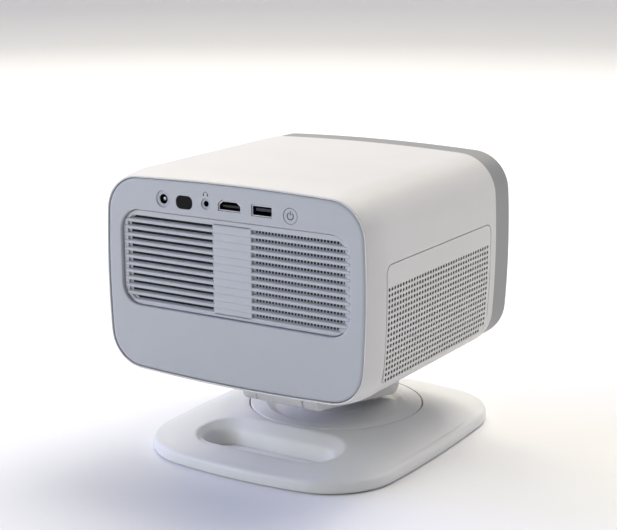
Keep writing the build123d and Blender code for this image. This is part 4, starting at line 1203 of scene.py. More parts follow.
@dataclass
class Turntable:
    """Turned disc with its shallow dish and the middle knuckle of the lift hinge."""

    centre_y: float = SWIVEL_Y
    radius: float = 55.6
    top: float = 15.8
    underside: float = 8.7
    dish_radius: float = 45.0
    dish_floor: float = 12.8
    dish_slope: float = 7.5
    bore: float = 11.05
    edge: float = 0.9
    cap_radius: float = 17.0
    knuckle_half: float = 16.5
    pivot: Pair = LIFT_AT
    knuckle_radius: float = LIFT_RADIUS

    def build(self) -> None:
        """Make and dress the turntable."""
        outer, top = self.radius, self.top
        edge = [(outer - self.edge * way, top - self.edge * down) for way, down in quarter(4)]
        drop, run = top - self.dish_floor, self.dish_slope
        waves = [pi * i / 12 for i in range(13)]
        dish = [(self.dish_radius + 1.0 - run * a / pi, top - drop * (1 - cos(a)) / 2) for a in waves]
        bore, under = self.bore, self.underside
        profile = [(bore, under), (outer, under), *edge, *dish, (bore, self.dish_floor)]
        draft = Draft().lathe(profile, (0.0, self.centre_y, 0.0), steps=160)
        y, r = self.pivot[0], self.knuckle_radius
        section = [polar(self.pivot, r, pi * i / 24) for i in range(25)]
        section += [(y - r, self.dish_floor - 1.0), (y + r, self.dish_floor - 1.0)]
        draft.prism(section, eased(self.knuckle_half, ((0.0, 0.5), (0.15, 0.15), (0.5, 0.0))), along_x)
        draft.place("turntable_skin", Body.TURNTABLE, Palette.DISC, ["turntable_disc"])
        low, rim = self.dish_floor, self.cap_radius
        cap = [(0.01, low + 0.3), (rim - 0.4, low + 0.3), (rim - 0.1, low + 0.22), (rim, low), (0.01, low)]
        cover = Draft().lathe(cap, (0.0, self.centre_y, 0.0), steps=96)
        cover.place("swivel_cover", Body.BASE, Palette.DISC, ["swivel_cap"])


@dataclass
class FoldingArm:
    """Cast arm with two ears at each end, rounded along its edges."""

    half_width: float = 27.1
    ear_gap: float = 16.9
    lift: Pair = LIFT_AT
    lift_radius: float = LIFT_RADIUS
    lift_relief: float = 13.0
    tilt: Pair = (42.2, 42.0)
    tilt_radius: float = 11.0
    tilt_relief: float = 13.4
    edge: float = 1.3
    swell: float = 0.165

    def sides(self) -> tuple[list[Pair], list[Pair]]:
        """Ends of the arm's upper and lower straight sides, from the lift to the tilt end.

        Returns:
            Both ends of the upper side, and both ends of the lower one.
        """
        dy, dz = self.tilt[0] - self.lift[0], self.tilt[1] - self.lift[1]
        slope = atan2(dz, dy)
        widen = asin((self.tilt_radius - self.lift_radius) / hypot(dy, dz))
        upper, lower = (
            [polar(self.lift, self.lift_radius, turn), polar(self.tilt, self.tilt_radius, turn)]
            for turn in (slope + pi / 2 + widen, slope - pi / 2 - widen)
        )
        return upper, lower

    def ear(self) -> list[Pair]:
        """Outline of the whole arm seen from the side.

        Returns:
            Points round it.
        """
        upper, lower = self.sides()
        loop: list[Pair] = []
        for centre, start, end, radius in (
            (self.tilt, lower[1], upper[1], self.tilt_radius),
            (self.lift, upper[0], lower[0], self.lift_radius),
        ):
            first = atan2(start[1] - centre[1], start[0] - centre[0])
            last = atan2(end[1] - centre[1], end[0] - centre[0])
            last += 2 * pi if last < first else 0
            loop += [self.swollen(centre, radius, first + (last - first) * i / 32) for i in range(33)]
        return divided(loop, 4.0)

    def swollen(self, centre: Pair, radius: float, angle: float) -> Pair:
        """Point round a hinge, squared off at the lower rear corner of the tilt hinge.

        Args:
            centre: Centre of the hinge.
            radius: Radius of the round parts.
            angle: Angle of the point.

        Returns:
            The point.
        """
        a = (angle + pi) % (2 * pi) - pi
        if centre is self.tilt and -pi / 2 < a < 0:
            radius *= 1 + self.swell * sin(2 * a) ** 2
        return polar(centre, radius, a)

    def web(self) -> list[Pair]:
        """Outline of the middle of the arm, between the two hinge reliefs.

        Returns:
            Points round it.
        """
        upper, lower = self.sides()
        found = []
        for line in (upper, lower):
            for centre, relief in ((self.lift, self.lift_relief), (self.tilt, self.tilt_relief)):
                spots = [tuple(a + (b - a) * i / 4000 for a, b in zip(*line)) for i in range(4001)]
                clear = [s for s in spots if hypot(s[0] - centre[0], s[1] - centre[1]) >= relief]
                found.append(clear[0] if centre is self.lift else clear[-1])
        upper_lift, upper_tilt, lower_lift, lower_tilt = found
        loop: list[Pair] = []
        for centre, relief, start, end in (
            (self.tilt, self.tilt_relief, lower_tilt, upper_tilt),
            (self.lift, self.lift_relief, upper_lift, lower_lift),
        ):
            first = atan2(start[1] - centre[1], start[0] - centre[0]) % (2 * pi)
            last = atan2(end[1] - centre[1], end[0] - centre[0]) % (2 * pi)
            if centre is self.lift:
                first = first if first < pi else first - 2 * pi
                last = last if last < pi else last - 2 * pi
            loop += [polar(centre, relief, first + (last - first) * i / 20) for i in range(21)]
        return divided(loop, 4.0)

    def build(self) -> None:
        """Make and dress the arm and its pins."""
        draft = Draft()
        outer, inner = self.half_width, self.ear_gap
        for side in (-1, 1):
            bend = [(way * self.edge, down * self.edge) for way, down in quarter(4)]
            stations = [(side * (outer - down), inset) for inset, down in bend[::-1]]
            stations += [(side * (inner + 0.6), 0.0), (side * inner, 0.6)]
            draft.prism(self.ear(), stations, along_x)
        reach = inner + 1.0
        draft.prism(self.web(), [(-reach, 0.0), (reach, 0.0)], along_x)
        draft.place("arm_skin", Body.ARM, Palette.ARM, ["lift_arm"])
        dress_nodes(Palette.PIN, "lift_pin", "tilt_pin")
        knuckle = [self.swollen(self.tilt, self.tilt_radius + 0.05, 2 * pi * i / 64) for i in range(64)]
        skin = Draft().prism(knuckle, eased(inner - 0.35, ((0.0, 0.6), (0.6, 0.0))), along_x)
        skin.place("tilt_knuckle_skin", Body.HEAD, Palette.ARM)


# The head


@dataclass
class HeadShell:
    """Moulded tube of the head with its side openings, drawn in towards its rear rim."""

    front_y: float = RING_JOINT_Y
    rear_y: float = PORTS_Y
    tuck: float = 2.8
    tuck_length: float = 22.0
    wall: float = 2.5
    rim: float = 0.95
    seat_y: float = SEAT_Y
    opening_centre: Pair = COVER_AT
    opening_size: Pair = (132.3, 69.2)
    opening_corner: float = 5.35
    neck_x: float = 17.0
    neck_y: Pair = (34.7, 50.7)
    side_lip: tuple[float, ...] = (0.1, 0.03, 0.0, 0.0)
    neck_lip: tuple[float, ...] = (0.2, 0.06, 0.0, 0.0)

    def drawn(self, y: float) -> float:
        """How far the shell is drawn in at a place along Y."""
        into = (y - (self.rear_y - self.tuck_length)) / self.tuck_length
        return self.tuck * max(0.0, into) ** 2

    def side_x(self, y: float, z: float, depth: float = 0.0) -> float:
        """Half width of the shell at a place on its side, at a depth under the skin."""
        reach = HEAD.side_radius - depth - self.drawn(y)
        return HEAD.half_width - HEAD.side_radius + sqrt(reach**2 - (z - HEAD.widest) ** 2)

    def skin_at(self, depth: float) -> tuple[Callable[[float, float], Triple], np.ndarray]:
        """How a place on the unrolled shell turns into a point of space.

        Args:
            depth: Depth under the outer skin.

        Returns:
            The lift of the unrolled skin, and the distance round the outline of each traced point.
        """
        outer = np.array(HEAD.trace() + [HEAD.trace()[0]])
        inner = np.array(HEAD.trace(1.0) + [HEAD.trace(1.0)[0]])
        round_by = np.concatenate([[0.0], np.cumsum(np.hypot(*np.diff(outer, axis=0).T))])
        way = inner - outer

        def lift(s: float, y: float) -> Triple:
            """Point of the skin at a distance round the outline and a place along Y.

            Args:
                s: Distance round the outline.
                y: Place along Y.

            Returns:
                The point.
            """
            inset = depth + self.drawn(y)
            at, into = ([np.interp(s, round_by, table[:, k]) for k in (0, 1)] for table in (outer, way))
            return float(at[0] + into[0] * inset), y, float(at[1] + into[1] * inset)

        return lift, round_by

    def opening(self, side: Side, grow: float) -> list[Pair]:
        """Speaker opening on the unrolled skin.

        Args:
            side: Side of the head.
            grow: Even step outwards.

        Returns:
            Distance round the outline and place along Y of each point.
        """
        _, round_by = self.skin_at(0.0)
        trace = np.array(HEAD.trace())
        half = slice(24, 64)
        width, height = (size + 2 * grow for size in self.opening_size)
        loop = divided(rounded_rectangle(self.opening_centre, width, height, self.opening_corner + grow), 6.0)
        made = []
        for y, z in loop:
            s = float(np.interp(-z, -trace[half, 1], round_by[half]))
            made.append((s if side is Side.LEFT else round_by[-1] - s, y))
        return made

    def neck(self, grow: float) -> list[Pair]:
        """Opening in the floor for the neck of the tilt hinge, on the unrolled skin.

        Args:
            grow: Even step outwards.

        Returns:
            Distance round the outline and place along Y of each point.
        """
        _, round_by = self.skin_at(0.0)
        centre = (round_by[-1] / 2, sum(self.neck_y) / 2)
        size = (2 * self.neck_x + 2 * grow, self.neck_y[1] - self.neck_y[0] + 2 * grow)
        return divided(rounded_rectangle(centre, *size, 1.5 + grow), 5.0)

    def build(self) -> None:
        """Make and dress the shell."""
        draft = Draft()
        start = self.rear_y - self.tuck_length
        tail = self.rear_y - 0.45
        for depth, grow, end in ((0.0, 0.2, tail), (self.wall, 0.0, self.seat_y)):
            lift, round_by = self.skin_at(depth)
            length = round_by[-1]
            along = [self.front_y + (start - self.front_y) * i / 18 for i in range(18)]
            along += [start + (end - start) * i / 9 for i in range(10)]
            rim = [(s, self.front_y) for s in round_by[:-1]] + [(length, y) for y in along[:-1]]
            rim += [(s, end) for s in round_by[:0:-1]] + [(0.0, y) for y in along[:0:-1]]
            holes = [self.opening(Side.LEFT, grow), self.opening(Side.RIGHT, grow), self.neck(grow)]
            inner = [(s, y) for s in round_by[1:-1] for y in along[1:-1]]
            draft.fill(rim, holes, inner, lift, 1.0)
        for opening, lip in (
            (partial(self.opening, Side.LEFT), self.side_lip),
            (partial(self.opening, Side.RIGHT), self.side_lip),
            (self.neck, self.neck_lip),
        ):
            rings = []
            for grow, depth in zip(lip, (0.0, 0.06, 0.2, self.wall)):
                lift, _ = self.skin_at(depth)
                rings.append([lift(s, y) for s, y in opening(grow)])
            draft.skin(rings)
        inset = self.tuck
        end = inset + self.rim
        rim = [
            (self.drawn(tail), tail),
            (inset + 0.06, tail + 0.22),
            (inset + 0.2, tail + 0.38),
            (inset + 0.4, self.rear_y),
            (end - 0.25, self.rear_y),
            (end - 0.08, self.rear_y - 0.08),
            (end, self.rear_y - 0.3),
            (end, self.seat_y),
            (self.wall + self.drawn(self.seat_y), self.seat_y),
        ]
        draft.skin([upright(HEAD.trace(step), y) for step, y in rim])
        draft.skin([upright(HEAD.trace(step), self.front_y) for step in (0.0, self.wall)])
        draft.place("head_shell_skin", Body.HEAD, Palette.SHELL, ["head_shell"])
        dress_nodes(Palette.ARM, "tilt_leaf")


@dataclass
class FrontEnd:
    """Grey ring round the front, with the window and the lens."""

    front_y: float = -79.2
    rear_y: float = RING_JOINT_Y
    inset: float = 0.8
    fillet: float = 5.5
    face: float = 8.0

    def build(self) -> None:
        """Make the ring and dress the optics."""
        r, near = self.fillet, self.inset
        inner = near + self.face
        profile = [(near, self.rear_y)]
        profile += [(near + r * way, self.front_y + r * down) for way, down in quarter(8)]
        profile += [
            (inner - 0.5, self.front_y),
            (inner - 0.12, self.front_y + 0.12),
            (inner, self.front_y + 0.5),
            (inner, self.front_y + 3.4),
            (inner + 1.2, self.front_y + 3.4),
            (inner + 1.2, self.front_y + 6.0),
            (near + 3.0, self.front_y + 6.0),
            (near + 3.0, self.rear_y - 2.0),
            (4.4, self.rear_y - 2.0),
            (4.4, self.rear_y + 6.0),
            (2.6, self.rear_y + 6.0),
            (2.6, self.rear_y),
        ]
        draft = Draft().skin([upright(HEAD.trace(step), y) for step, y in profile], loop=True)
        draft.place("front_ring_skin", Body.HEAD, Palette.RING, ["front_ring"])
        dress_nodes(Palette.WINDOW, "front_window", "distance_sensor", "focus_camera")
        dress_nodes(Palette.BLACK, "front_frame", "lens_barrel")
        dress_nodes(Palette.DRIVER, "lens_bezel")
        dress_nodes(Palette.GLASS, "front_lens", "rear_lens")


@dataclass
class SpeakerCover:
    """Perforated cover of one side, flush with the shell."""

    shell: HeadShell
    centre: Pair = COVER_AT
    size: Pair = (131.6, 68.5)
    corner: float = 5.0
    thickness: float = 0.4
    rim_depth: float = 2.4
    cloth_depth: Pair = (0.5, 0.9)
    pitch: float = 3.285
    columns: int = 39
    rows: int = 17
    hole_radius: float = 1.15
    first_column_y: float = -42.3
    first_row_z: float = 71.2
    edge: float = 0.15

    def growth(self) -> Growth:
        """Tree that fills the cover's outline round a grid of holes and bends it to the shell's side.

        Returns:
            The tree.
        """
        sizes = ("Length", "Height", "Corner", "Pitch", "Hole Radius", "Thickness")
        places = ("Field Y", "Field Z", "Short Row Y", "Short Row Z", "Centre Y", "Centre Z")
        side_form = ("Side Radius", "Half Width", "Widest Z")
        made = Growth("perforated_cover", Float=sizes + places + side_form, Int=("Columns", "Rows"))
        given = made.given
        size = {"Width": given["Length"], "Height": given["Height"]}
        rim = made.add("GeometryNodeCurvePrimitiveQuadrilateral", size)
        bend = {"Curve": rim, "Radius": given["Corner"], "Count": 6}
        rounded = made.add("GeometryNodeFilletCurve", bend, mode="POLY")
        parts = {"Curve": rounded, "Length": 1.6}
        even = made.add("GeometryNodeResampleCurve", parts, mode="LENGTH")
        counts = [given["Columns"], given["Rows"]]
        spans = [made.formula("MULTIPLY", ("SUBTRACT", count, 1.0), given["Pitch"]) for count in counts]
        spread = dict(zip(("Size X", "Size Y", "Vertices X", "Vertices Y"), spans + counts))
        grid = made.add("GeometryNodeMeshGrid", spread)
        offset = made.add("ShaderNodeCombineXYZ", {"X": given["Field Y"], "Y": given["Field Z"]})
        field = made.add("GeometryNodeTransform", {0: grid, "Translation": offset})
        position = made.add("GeometryNodeInputPosition")
        place = made.add("ShaderNodeSeparateXYZ", {0: position}).node.outputs
        low_row = made.formula("LESS_THAN", place["Y"], given["Short Row Z"])
        near_end = made.formula("LESS_THAN", place["X"], given["Short Row Y"])
        missing = {"Geometry": field, "Selection": made.formula("MULTIPLY", low_row, near_end)}
        kept = made.add("GeometryNodeDeleteGeometry", missing, domain="POINT")
        ring = {"Resolution": 12, "Radius": given["Hole Radius"]}
        hole = made.add("GeometryNodeCurvePrimitiveCircle", ring)
        holes = made.add("GeometryNodeInstanceOnPoints", {"Points": kept, "Instance": hole})
        real = made.add("GeometryNodeRealizeInstances", {0: holes})
        loops = made.add("GeometryNodeJoinGeometry", {0: [even, real]})
        sheet = made.add("GeometryNodeFillCurve", {"Curve": loops}, mode="TRIANGLES")
        push = {"Mesh": sheet, "Offset Scale": given["Thickness"], "Individual": False}
        raised = made.add("GeometryNodeExtrudeMesh", push, mode="FACES")
        back = made.add("GeometryNodeFlipFaces", {"Mesh": sheet})
        both = made.add("GeometryNodeJoinGeometry", {0: [raised, back]})
        y = made.formula("ADD", place["X"], given["Centre Y"])
        z = made.formula("ADD", place["Y"], given["Centre Z"])
        rise = made.formula("SUBTRACT", z, given["Widest Z"])
        under = ("SUBTRACT", ("POWER", given["Side Radius"], 2.0), ("POWER", rise, 2.0))
        bulge = ("SUBTRACT", ("SQRT", under), given["Side Radius"])
        into = ("SUBTRACT", place["Z"], given["Thickness"])
        x = made.formula("ADD", ("ADD", given["Half Width"], bulge), into)
        bent = made.add("ShaderNodeCombineXYZ", {"X": x, "Y": y, "Z": z})
        made.finish(made.add("GeometryNodeSetPosition", {"Geometry": both, "Position": bent}))
        return made

    def rim(self) -> Draft:
        """Softly rounded edge of the cover.

        Returns:
            The rim, on the left side.
        """
        edge, foot = self.edge, self.rim_depth
        bend = ((edge, 0.0), (0.08, 0.05), (0.02, 0.14), (0.0, 0.3))
        rings = []
        for inset, depth in (*bend, (0.0, foot), (edge, foot), (edge, self.thickness)):
            width, height = (size - 2 * inset for size in self.size)
            loop = divided(rounded_rectangle(self.centre, width, height, self.corner - inset), 6.0)
            rings.append([self.on_side(y, z, depth) for y, z in loop])
        return Draft().skin(rings)

    def on_side(self, y: float, z: float, depth: float) -> Triple:
        """Point at a depth under the shell's side."""
        return self.shell.side_x(y, z, depth), y, z

    def build(self) -> None:
        """Make and dress both covers and what shows through them."""
        growth = self.growth()
        first = (self.first_column_y - self.centre[0], self.first_row_z - self.centre[1])
        field_at = {
            "Field_Y": self.first_column_y + (self.columns - 1) * self.pitch / 2 - self.centre[0],
            "Field_Z": self.first_row_z + (self.rows - 1) * self.pitch / 2 - self.centre[1],
            "Short_Row_Y": first[0] + 1.5 * self.pitch,
            "Short_Row_Z": first[1] + 0.5 * self.pitch,
        }
        side_form = {"Side_Radius": HEAD.side_radius, "Half_Width": HEAD.half_width, "Widest_Z": HEAD.widest}
        for side, word in ((Side.RIGHT, "right"), (Side.LEFT, "left")):
            grown = growth.grow(
                Palette.SHELL,
                Length=self.size[0] - 2 * self.edge,
                Height=self.size[1] - 2 * self.edge,
                Corner=self.corner - self.edge,
                Pitch=self.pitch,
                Columns=self.columns,
                Rows=self.rows,
                Hole_Radius=self.hole_radius,
                Thickness=self.thickness,
                Centre_Y=self.centre[0],
                Centre_Z=self.centre[1],
                **field_at,
                **side_form,
            )
            grille, cloth = self.rim().join(grown), self.cloth()
            if side is Side.RIGHT:
                grille.mirrored()
                cloth.mirrored()
            grille.place(f"speaker_grille_{word}", Body.HEAD, Palette.SHELL, [f"speaker_cover_{word}"])
            cloth.place(f"acoustic_cloth_{word}", Body.HEAD, Palette.CLOTH)
            dress_nodes(Palette.CONE, f"speaker_{word}")

    def cloth(self) -> Draft:
        """Black cloth stretched right behind the holes.

        Returns:
            The cloth, on the left side.
        """
        draft = Draft()
        width, height = (size - 3.0 for size in self.size)
        edge = divided(rounded_rectangle(self.centre, width, height, self.corner), 6.0)
        inner = lattice_points((-46, 69), (85, 138), 8.0)
        for depth in self.cloth_depth:
            draft.fill(edge, [], inner, lambda y, z, d=depth: self.on_side(y, z, d))
        return draft.skin([[self.on_side(y, z, depth) for y, z in edge] for depth in self.cloth_depth])


@dataclass
class RearPanel:
    """Blue-grey rear cover with a rounded edge, its port cut-outs and the louvre window."""

    shell: HeadShell
    face_y: float = PORTS_Y
    back_y: float = SEAT_Y
    gap: float = 0.35
    edge_width: float = 2.2
    edge_drop: float = 1.5
    vent_size: Pair = (157.8, 58.3)
    vent_corner: float = 13.0
    round_holes: tuple[tuple[Pair, float, float], ...] = (
        (DC_AT, 5.0, 0.3),
        (AUDIO_AT, 3.2, 0.25),
        (BUTTON_AT, 4.76, 0.08),
    )

    def holes(self) -> list[tuple[Callable[[float], list[Pair]], float]]:
        """Each cut-out as a loop for an even step outwards, with the radius of its lip.

        Returns:
            Loop and lip of each cut-out.
        """
        found = [(partial(grown_circle, centre, radius), lip) for centre, radius, lip in self.round_holes]
        found.append((partial(grown_rectangle, INFRARED_AT, (11.6, 7.9), 3.3, 8), 0.25))
        found.append((lambda g: video_loop(0.2 + g), 0.25))
        found.append((partial(grown_rectangle, DATA_AT, (14.0, 6.6), 0.6, 4), 0.25))
        vent = partial(grown_rectangle, VENT_AT, self.vent_size, self.vent_corner, 12)
        found.append((lambda g: divided(vent(g), 8.0), 1.0))
        return found

    def build(self) -> None:
        """Make and dress the panel."""
        draft = Draft()
        start = self.shell.tuck + self.shell.rim + self.gap
        width, drop = self.edge_width, self.edge_drop
        rings = [(start, self.back_y)]
        rings += [(start + width * way, self.face_y - drop * down) for way, down in quarter(8)]
        draft.skin([upright(HEAD.trace(inset), y) for inset, y in rings])
        inner = lattice_points((-86, 60), (86, 176), 7.0)
        loops = self.holes()
        face_rim, back_rim = HEAD.trace(start + width), HEAD.trace(start)
        draft.fill(face_rim, [loop(lip) for loop, lip in loops], inner, lambda x, z: (x, self.face_y, z), 1.5)
        draft.fill(back_rim, [loop(0.0) for loop, _ in loops], inner, lambda x, z: (x, self.back_y, z), 1.5)
        for loop, lip in loops:
            profile = [(lip * down, self.face_y - lip * way) for way, down in quarter(4)]
            draft.skin([upright(loop(grow), y) for grow, y in [*profile, (0.0, self.back_y)]])
        draft.place("rear_panel_skin", Body.HEAD, Palette.PANEL, ["rear_panel"], crease=50.0)


@dataclass
class Louvre:
    """Recessed insert with two blocks of slats that end in soft scallops."""

    centre_z: float = VENT_AT[1]
    half_size: Pair = (78.55, 28.8)
    corner: float = 12.65
    face_y: float = 101.0
    floor_y: float = 100.35
    ledge_y: float = 99.0
    back_y: float = 98.4
    ledge: float = 2.0
    rows: int = 12
    pitch: float = 4.45
    gap: float = 2.5
    slope: float = 14.0
    bridge: float = 12.95
    block_end: float = 75.6
    field_half: Pair = (76.8, 27.05)
    field_corner: float = 10.9
    nose_end: float = 78.3
    gauze_y: float = 98.5
    border_edge: Pair = (0.55, 0.65)
    groove: float = 0.35
    nose_taper: float = 1.4
    fin_count: int = 29
    fin_pitch: float = 2.147
    fin_half: Pair = (0.3, 26.0)
    fin_start: float = 61.6

    def row_z(self, row: float) -> float:
        """Height of the middle of a row of slots."""
        return self.centre_z + ((self.rows - 1) / 2 - row) * self.pitch

    def rise(self, y: float) -> float:
        """How much higher a slot lies at a depth than in the middle of the insert."""
        return ((self.face_y + self.back_y) / 2 - y) * tan(radians(self.slope))

    def field_x(self, z: float) -> float:
        """Half width of the field of slots at a height.

        Args:
            z: The height.

        Returns:
            The half width.
        """
        over = abs(z - self.centre_z) - (self.field_half[1] - self.field_corner)
        if over <= 0:
            return self.block_end
        spare = max(0.0, self.field_corner**2 - over**2)
        return min(self.block_end, self.field_half[0] - self.field_corner + sqrt(spare))

    def slot(self, row: int, side: int, y: float, inset: float = 0.0) -> list[Pair]:
        """Loop of one slot at a depth.

        Args:
            row: Row from the top.
            side: Sign of X.
            y: Place along Y.
            inset: Step inwards at both ends.

        Returns:
            The loop.
        """
        low, high = self.row_z(row) - self.gap / 2, self.row_z(row) + self.gap / 2
        near, up = self.bridge, self.rise(y)
        ends = [(near, low), (self.field_x(low), low), (self.field_x(high), high), (near, high)]
        loop = []
        for x, z in divided(ends, 9.0):
            x = min(max(x, near + inset), self.field_x(z) - inset)
            loop.append((side * x, z + up))
        return loop if side > 0 else loop[::-1]

    def plate(self) -> Draft:
        """Insert behind the slat noses, with its sloped slots and the ledge behind them.

        Returns:
            The plate.
        """
        draft = Draft()
        width, height = 2 * self.half_size[0], 2 * self.half_size[1]
        edge = divided(rounded_rectangle((0.0, self.centre_z), width, height, self.corner, 12), 9.0)
        spots = [(row, side) for row in range(self.rows) for side in (-1, 1)]
        ledge, inset = self.ledge_y, self.ledge
        stations = ((self.floor_y, 0.0), (ledge, 0.0), (ledge, inset), (self.back_y, inset))
        for y, inset in (stations[0], stations[-1]):
            holes = [self.slot(row, side, y, inset) for row, side in spots]
            draft.fill(edge, holes, [], lambda x, z, w=y: (x, w, z))
        for row, side in spots:
            draft.skin([upright(self.slot(row, side, y, inset), y) for y, inset in stations])
        draft.skin([upright(edge, y) for y in (self.floor_y, self.back_y)])
        return draft

    def noses(self) -> Growth:
        """Tree of rounded slat noses in two blocks, each nose tapered to a soft end.

        Returns:
            The tree.
        """
        sizes = ("Pitch", "Length", "Height", "Depth", "Taper", "Block Spacing", "Top Z", "Face Y")
        made = Growth("slat_noses", Float=sizes, Int=("Count",))
        given = made.given
        cells = {"Size X": 1.0, "Size Y": 1.0, "Vertices X": 45, "Vertices Y": 17}
        grid = made.add("GeometryNodeMeshGrid", cells)
        position = made.add("GeometryNodeInputPosition")
        place = made.add("ShaderNodeSeparateXYZ", {0: position}).node.outputs
        along = ("SINE", ("MULTIPLY", place["X"], pi))
        x = made.formula("MULTIPLY", ("MULTIPLY", along, given["Length"]), 0.5)
        to_end = ("SUBTRACT", ("MULTIPLY", given["Length"], 0.5), ("ABSOLUTE", x))
        short = ("MAXIMUM", ("SUBTRACT", given["Taper"], to_end), 0.0)
        share = ("POWER", ("DIVIDE", short, given["Taper"]), 2.0)
        full = made.formula("SQRT", ("MAXIMUM", ("SUBTRACT", 1.0, share), 0.0))
        angle = made.formula("MULTIPLY", place["Y"], 2 * pi)
        out = made.formula("MULTIPLY", ("MULTIPLY", ("COSINE", angle), given["Depth"]), full)
        up = ("MULTIPLY", ("MULTIPLY", ("SINE", angle), given["Height"]), 0.5)
        tall = made.formula("MULTIPLY", up, full)
        shaped = made.add("ShaderNodeCombineXYZ", {"X": x, "Y": out, "Z": tall})
        nose = made.add("GeometryNodeSetPosition", {"Geometry": grid, "Position": shaped})
        down = made.formula("MULTIPLY", given["Pitch"], -1.0)
        step = made.add("ShaderNodeCombineXYZ", {"Z": down})
        rows = made.add("GeometryNodeMeshLine", {"Count": given["Count"], "Offset": step})
        block = made.add("GeometryNodeInstanceOnPoints", {"Points": rows, "Instance": nose})
        across = made.add("ShaderNodeCombineXYZ", {"X": given["Block Spacing"]})
        pair = made.add("GeometryNodeMeshLine", {"Count": 2, "Offset": across})
        both = made.add("GeometryNodeInstanceOnPoints", {"Points": pair, "Instance": block})
        back = made.formula("MULTIPLY", given["Block Spacing"], -0.5)
        corner = {"X": back, "Y": given["Face Y"], "Z": given["Top Z"]}
        start = made.add("ShaderNodeCombineXYZ", corner)
        made.finish(made.add("GeometryNodeTransform", {0: both, "Translation": start}))
        return made

    def bands(self) -> Draft:
        """Raised top and bottom borders and the bridge between the blocks, with a line at each row.

        Returns:
            The borders and the bridge.
        """
        draft = Draft()
        width, height = 2 * self.half_size[0], 2 * self.half_size[1]
        edge = divided(rounded_rectangle((0.0, self.centre_z), width, height, self.corner, 16), 9.0)
        inset, drop = self.border_edge
        bend = [(inset * down, drop * way) for way, down in quarter(3)]
        up = self.rise(self.face_y)
        for side in (-1, 1):
            border = self.row_z(0 if side > 0 else self.rows - 1) + side * self.gap / 2 + up
            run = [p for p in edge if side * (p[1] - border) > 0.02]
            loop = divided([(run[0][0], border), *run, (run[-1][0], border)], 6.0)
            stations = [(self.face_y - drop, inset) for inset, drop in bend] + [(self.floor_y - 0.5, 0.0)]
            draft.prism(loop, stations, along_y)
        face, groove = self.face_y, self.face_y - self.groove
        profile: list[Pair] = [(face, self.row_z(-0.5) + up)]
        for row in range(self.rows):
            z = self.row_z(row) + self.gap / 2 + up
            profile += [(face, z + 0.22), (groove, z + 0.08), (groove, z - 0.08), (face, z - 0.3)]
        profile.append((face, self.row_z(self.rows - 0.5) + up))
        half = self.bridge + 0.25
        ends = eased(half, ((0.0, 0.5), (0.15, 0.12), (0.5, 0.0)))
        rings = [[(x, y - drop, z) for y, z in profile] for x, drop in ends]
        back = [[(x, self.floor_y - 0.5, z) for y, z in profile] for x in (half, -half)]
        draft.skin([*rings, *back], closed=False, loop=True)
        return draft

    def gauze(self, side: int) -> Draft:
        """Black sheet across the slots of one block, painted shade for the dark inside of the head behind
        them.

        Args:
            side: Sign of X.

        Returns:
            The gauze.
        """
        low, high = self.row_z(self.rows - 0.5), self.row_z(-0.5)
        centre = (side * (self.bridge + self.block_end) / 2, (low + high) / 2)
        loop = rounded_rectangle(centre, self.block_end - self.bridge + 2.0, high - low, 8.0)
        return Draft().prism(loop, [(self.gauze_y, 0.0), (self.gauze_y - 0.08, 0.0)], along_y)

    def build(self, lattice: Growth) -> None:
        """Make and dress the louvre.

        Args:
            lattice: Tree for the fin edges.
        """
        self.plate().place("louvre_plate", Body.HEAD, Palette.LOUVRE, ["rear_louvre"], crease=30.0)
        self.bands().place("louvre_bands", Body.HEAD, Palette.LOUVRE, crease=60.0)
        # The black sheet behind both blocks is painted shade: the shadow inside the head, and the dark
        # between the fin edges.
        gauze = self.gauze(1).join(self.gauze(-1))
        gauze.place("dust_gauze", Body.HEAD, Palette.CLOTH)
        thin, tall = self.fin_half
        strip = [(-thin, -tall), (thin, -tall), (thin, tall), (-thin, tall)]
        edge = Draft().prism(strip, [(0.22, 0.0), (0.0, 0.0)], along_y)
        first = (-self.bridge - self.fin_start, self.gauze_y, self.centre_z)
        comb = Lattice(self.fin_count, 1, (self.fin_pitch, 0, 0), (0, 0, 0), first)
        comb.grow(lattice, edge, Palette.LOUVRE).place("fin_edges", Body.HEAD, Palette.LOUVRE)
        growth = self.noses()
        draft = Draft()
        start = self.bridge - 0.8
        inner_rows = (1.5, self.rows - 3, self.pitch, self.nose_end)
        outer_rows = (0.5, 2, (self.rows - 2) * self.pitch, self.nose_end - 1.0)
        for first, count, pitch, end in (inner_rows, outer_rows):
            grown = growth.grow(
                Palette.LOUVRE,
                Count=count,
                Pitch=pitch,
                Length=end - start,
                Height=self.pitch - self.gap,
                Depth=self.face_y - self.floor_y,
                Taper=self.nose_taper,
                Block_Spacing=end + start,
                Top_Z=self.row_z(first) + self.rise(self.face_y),
                Face_Y=self.floor_y,
            )
            draft.join(grown)
        draft.place("louvre_noses", Body.HEAD, Palette.LOUVRE, crease=60.0)


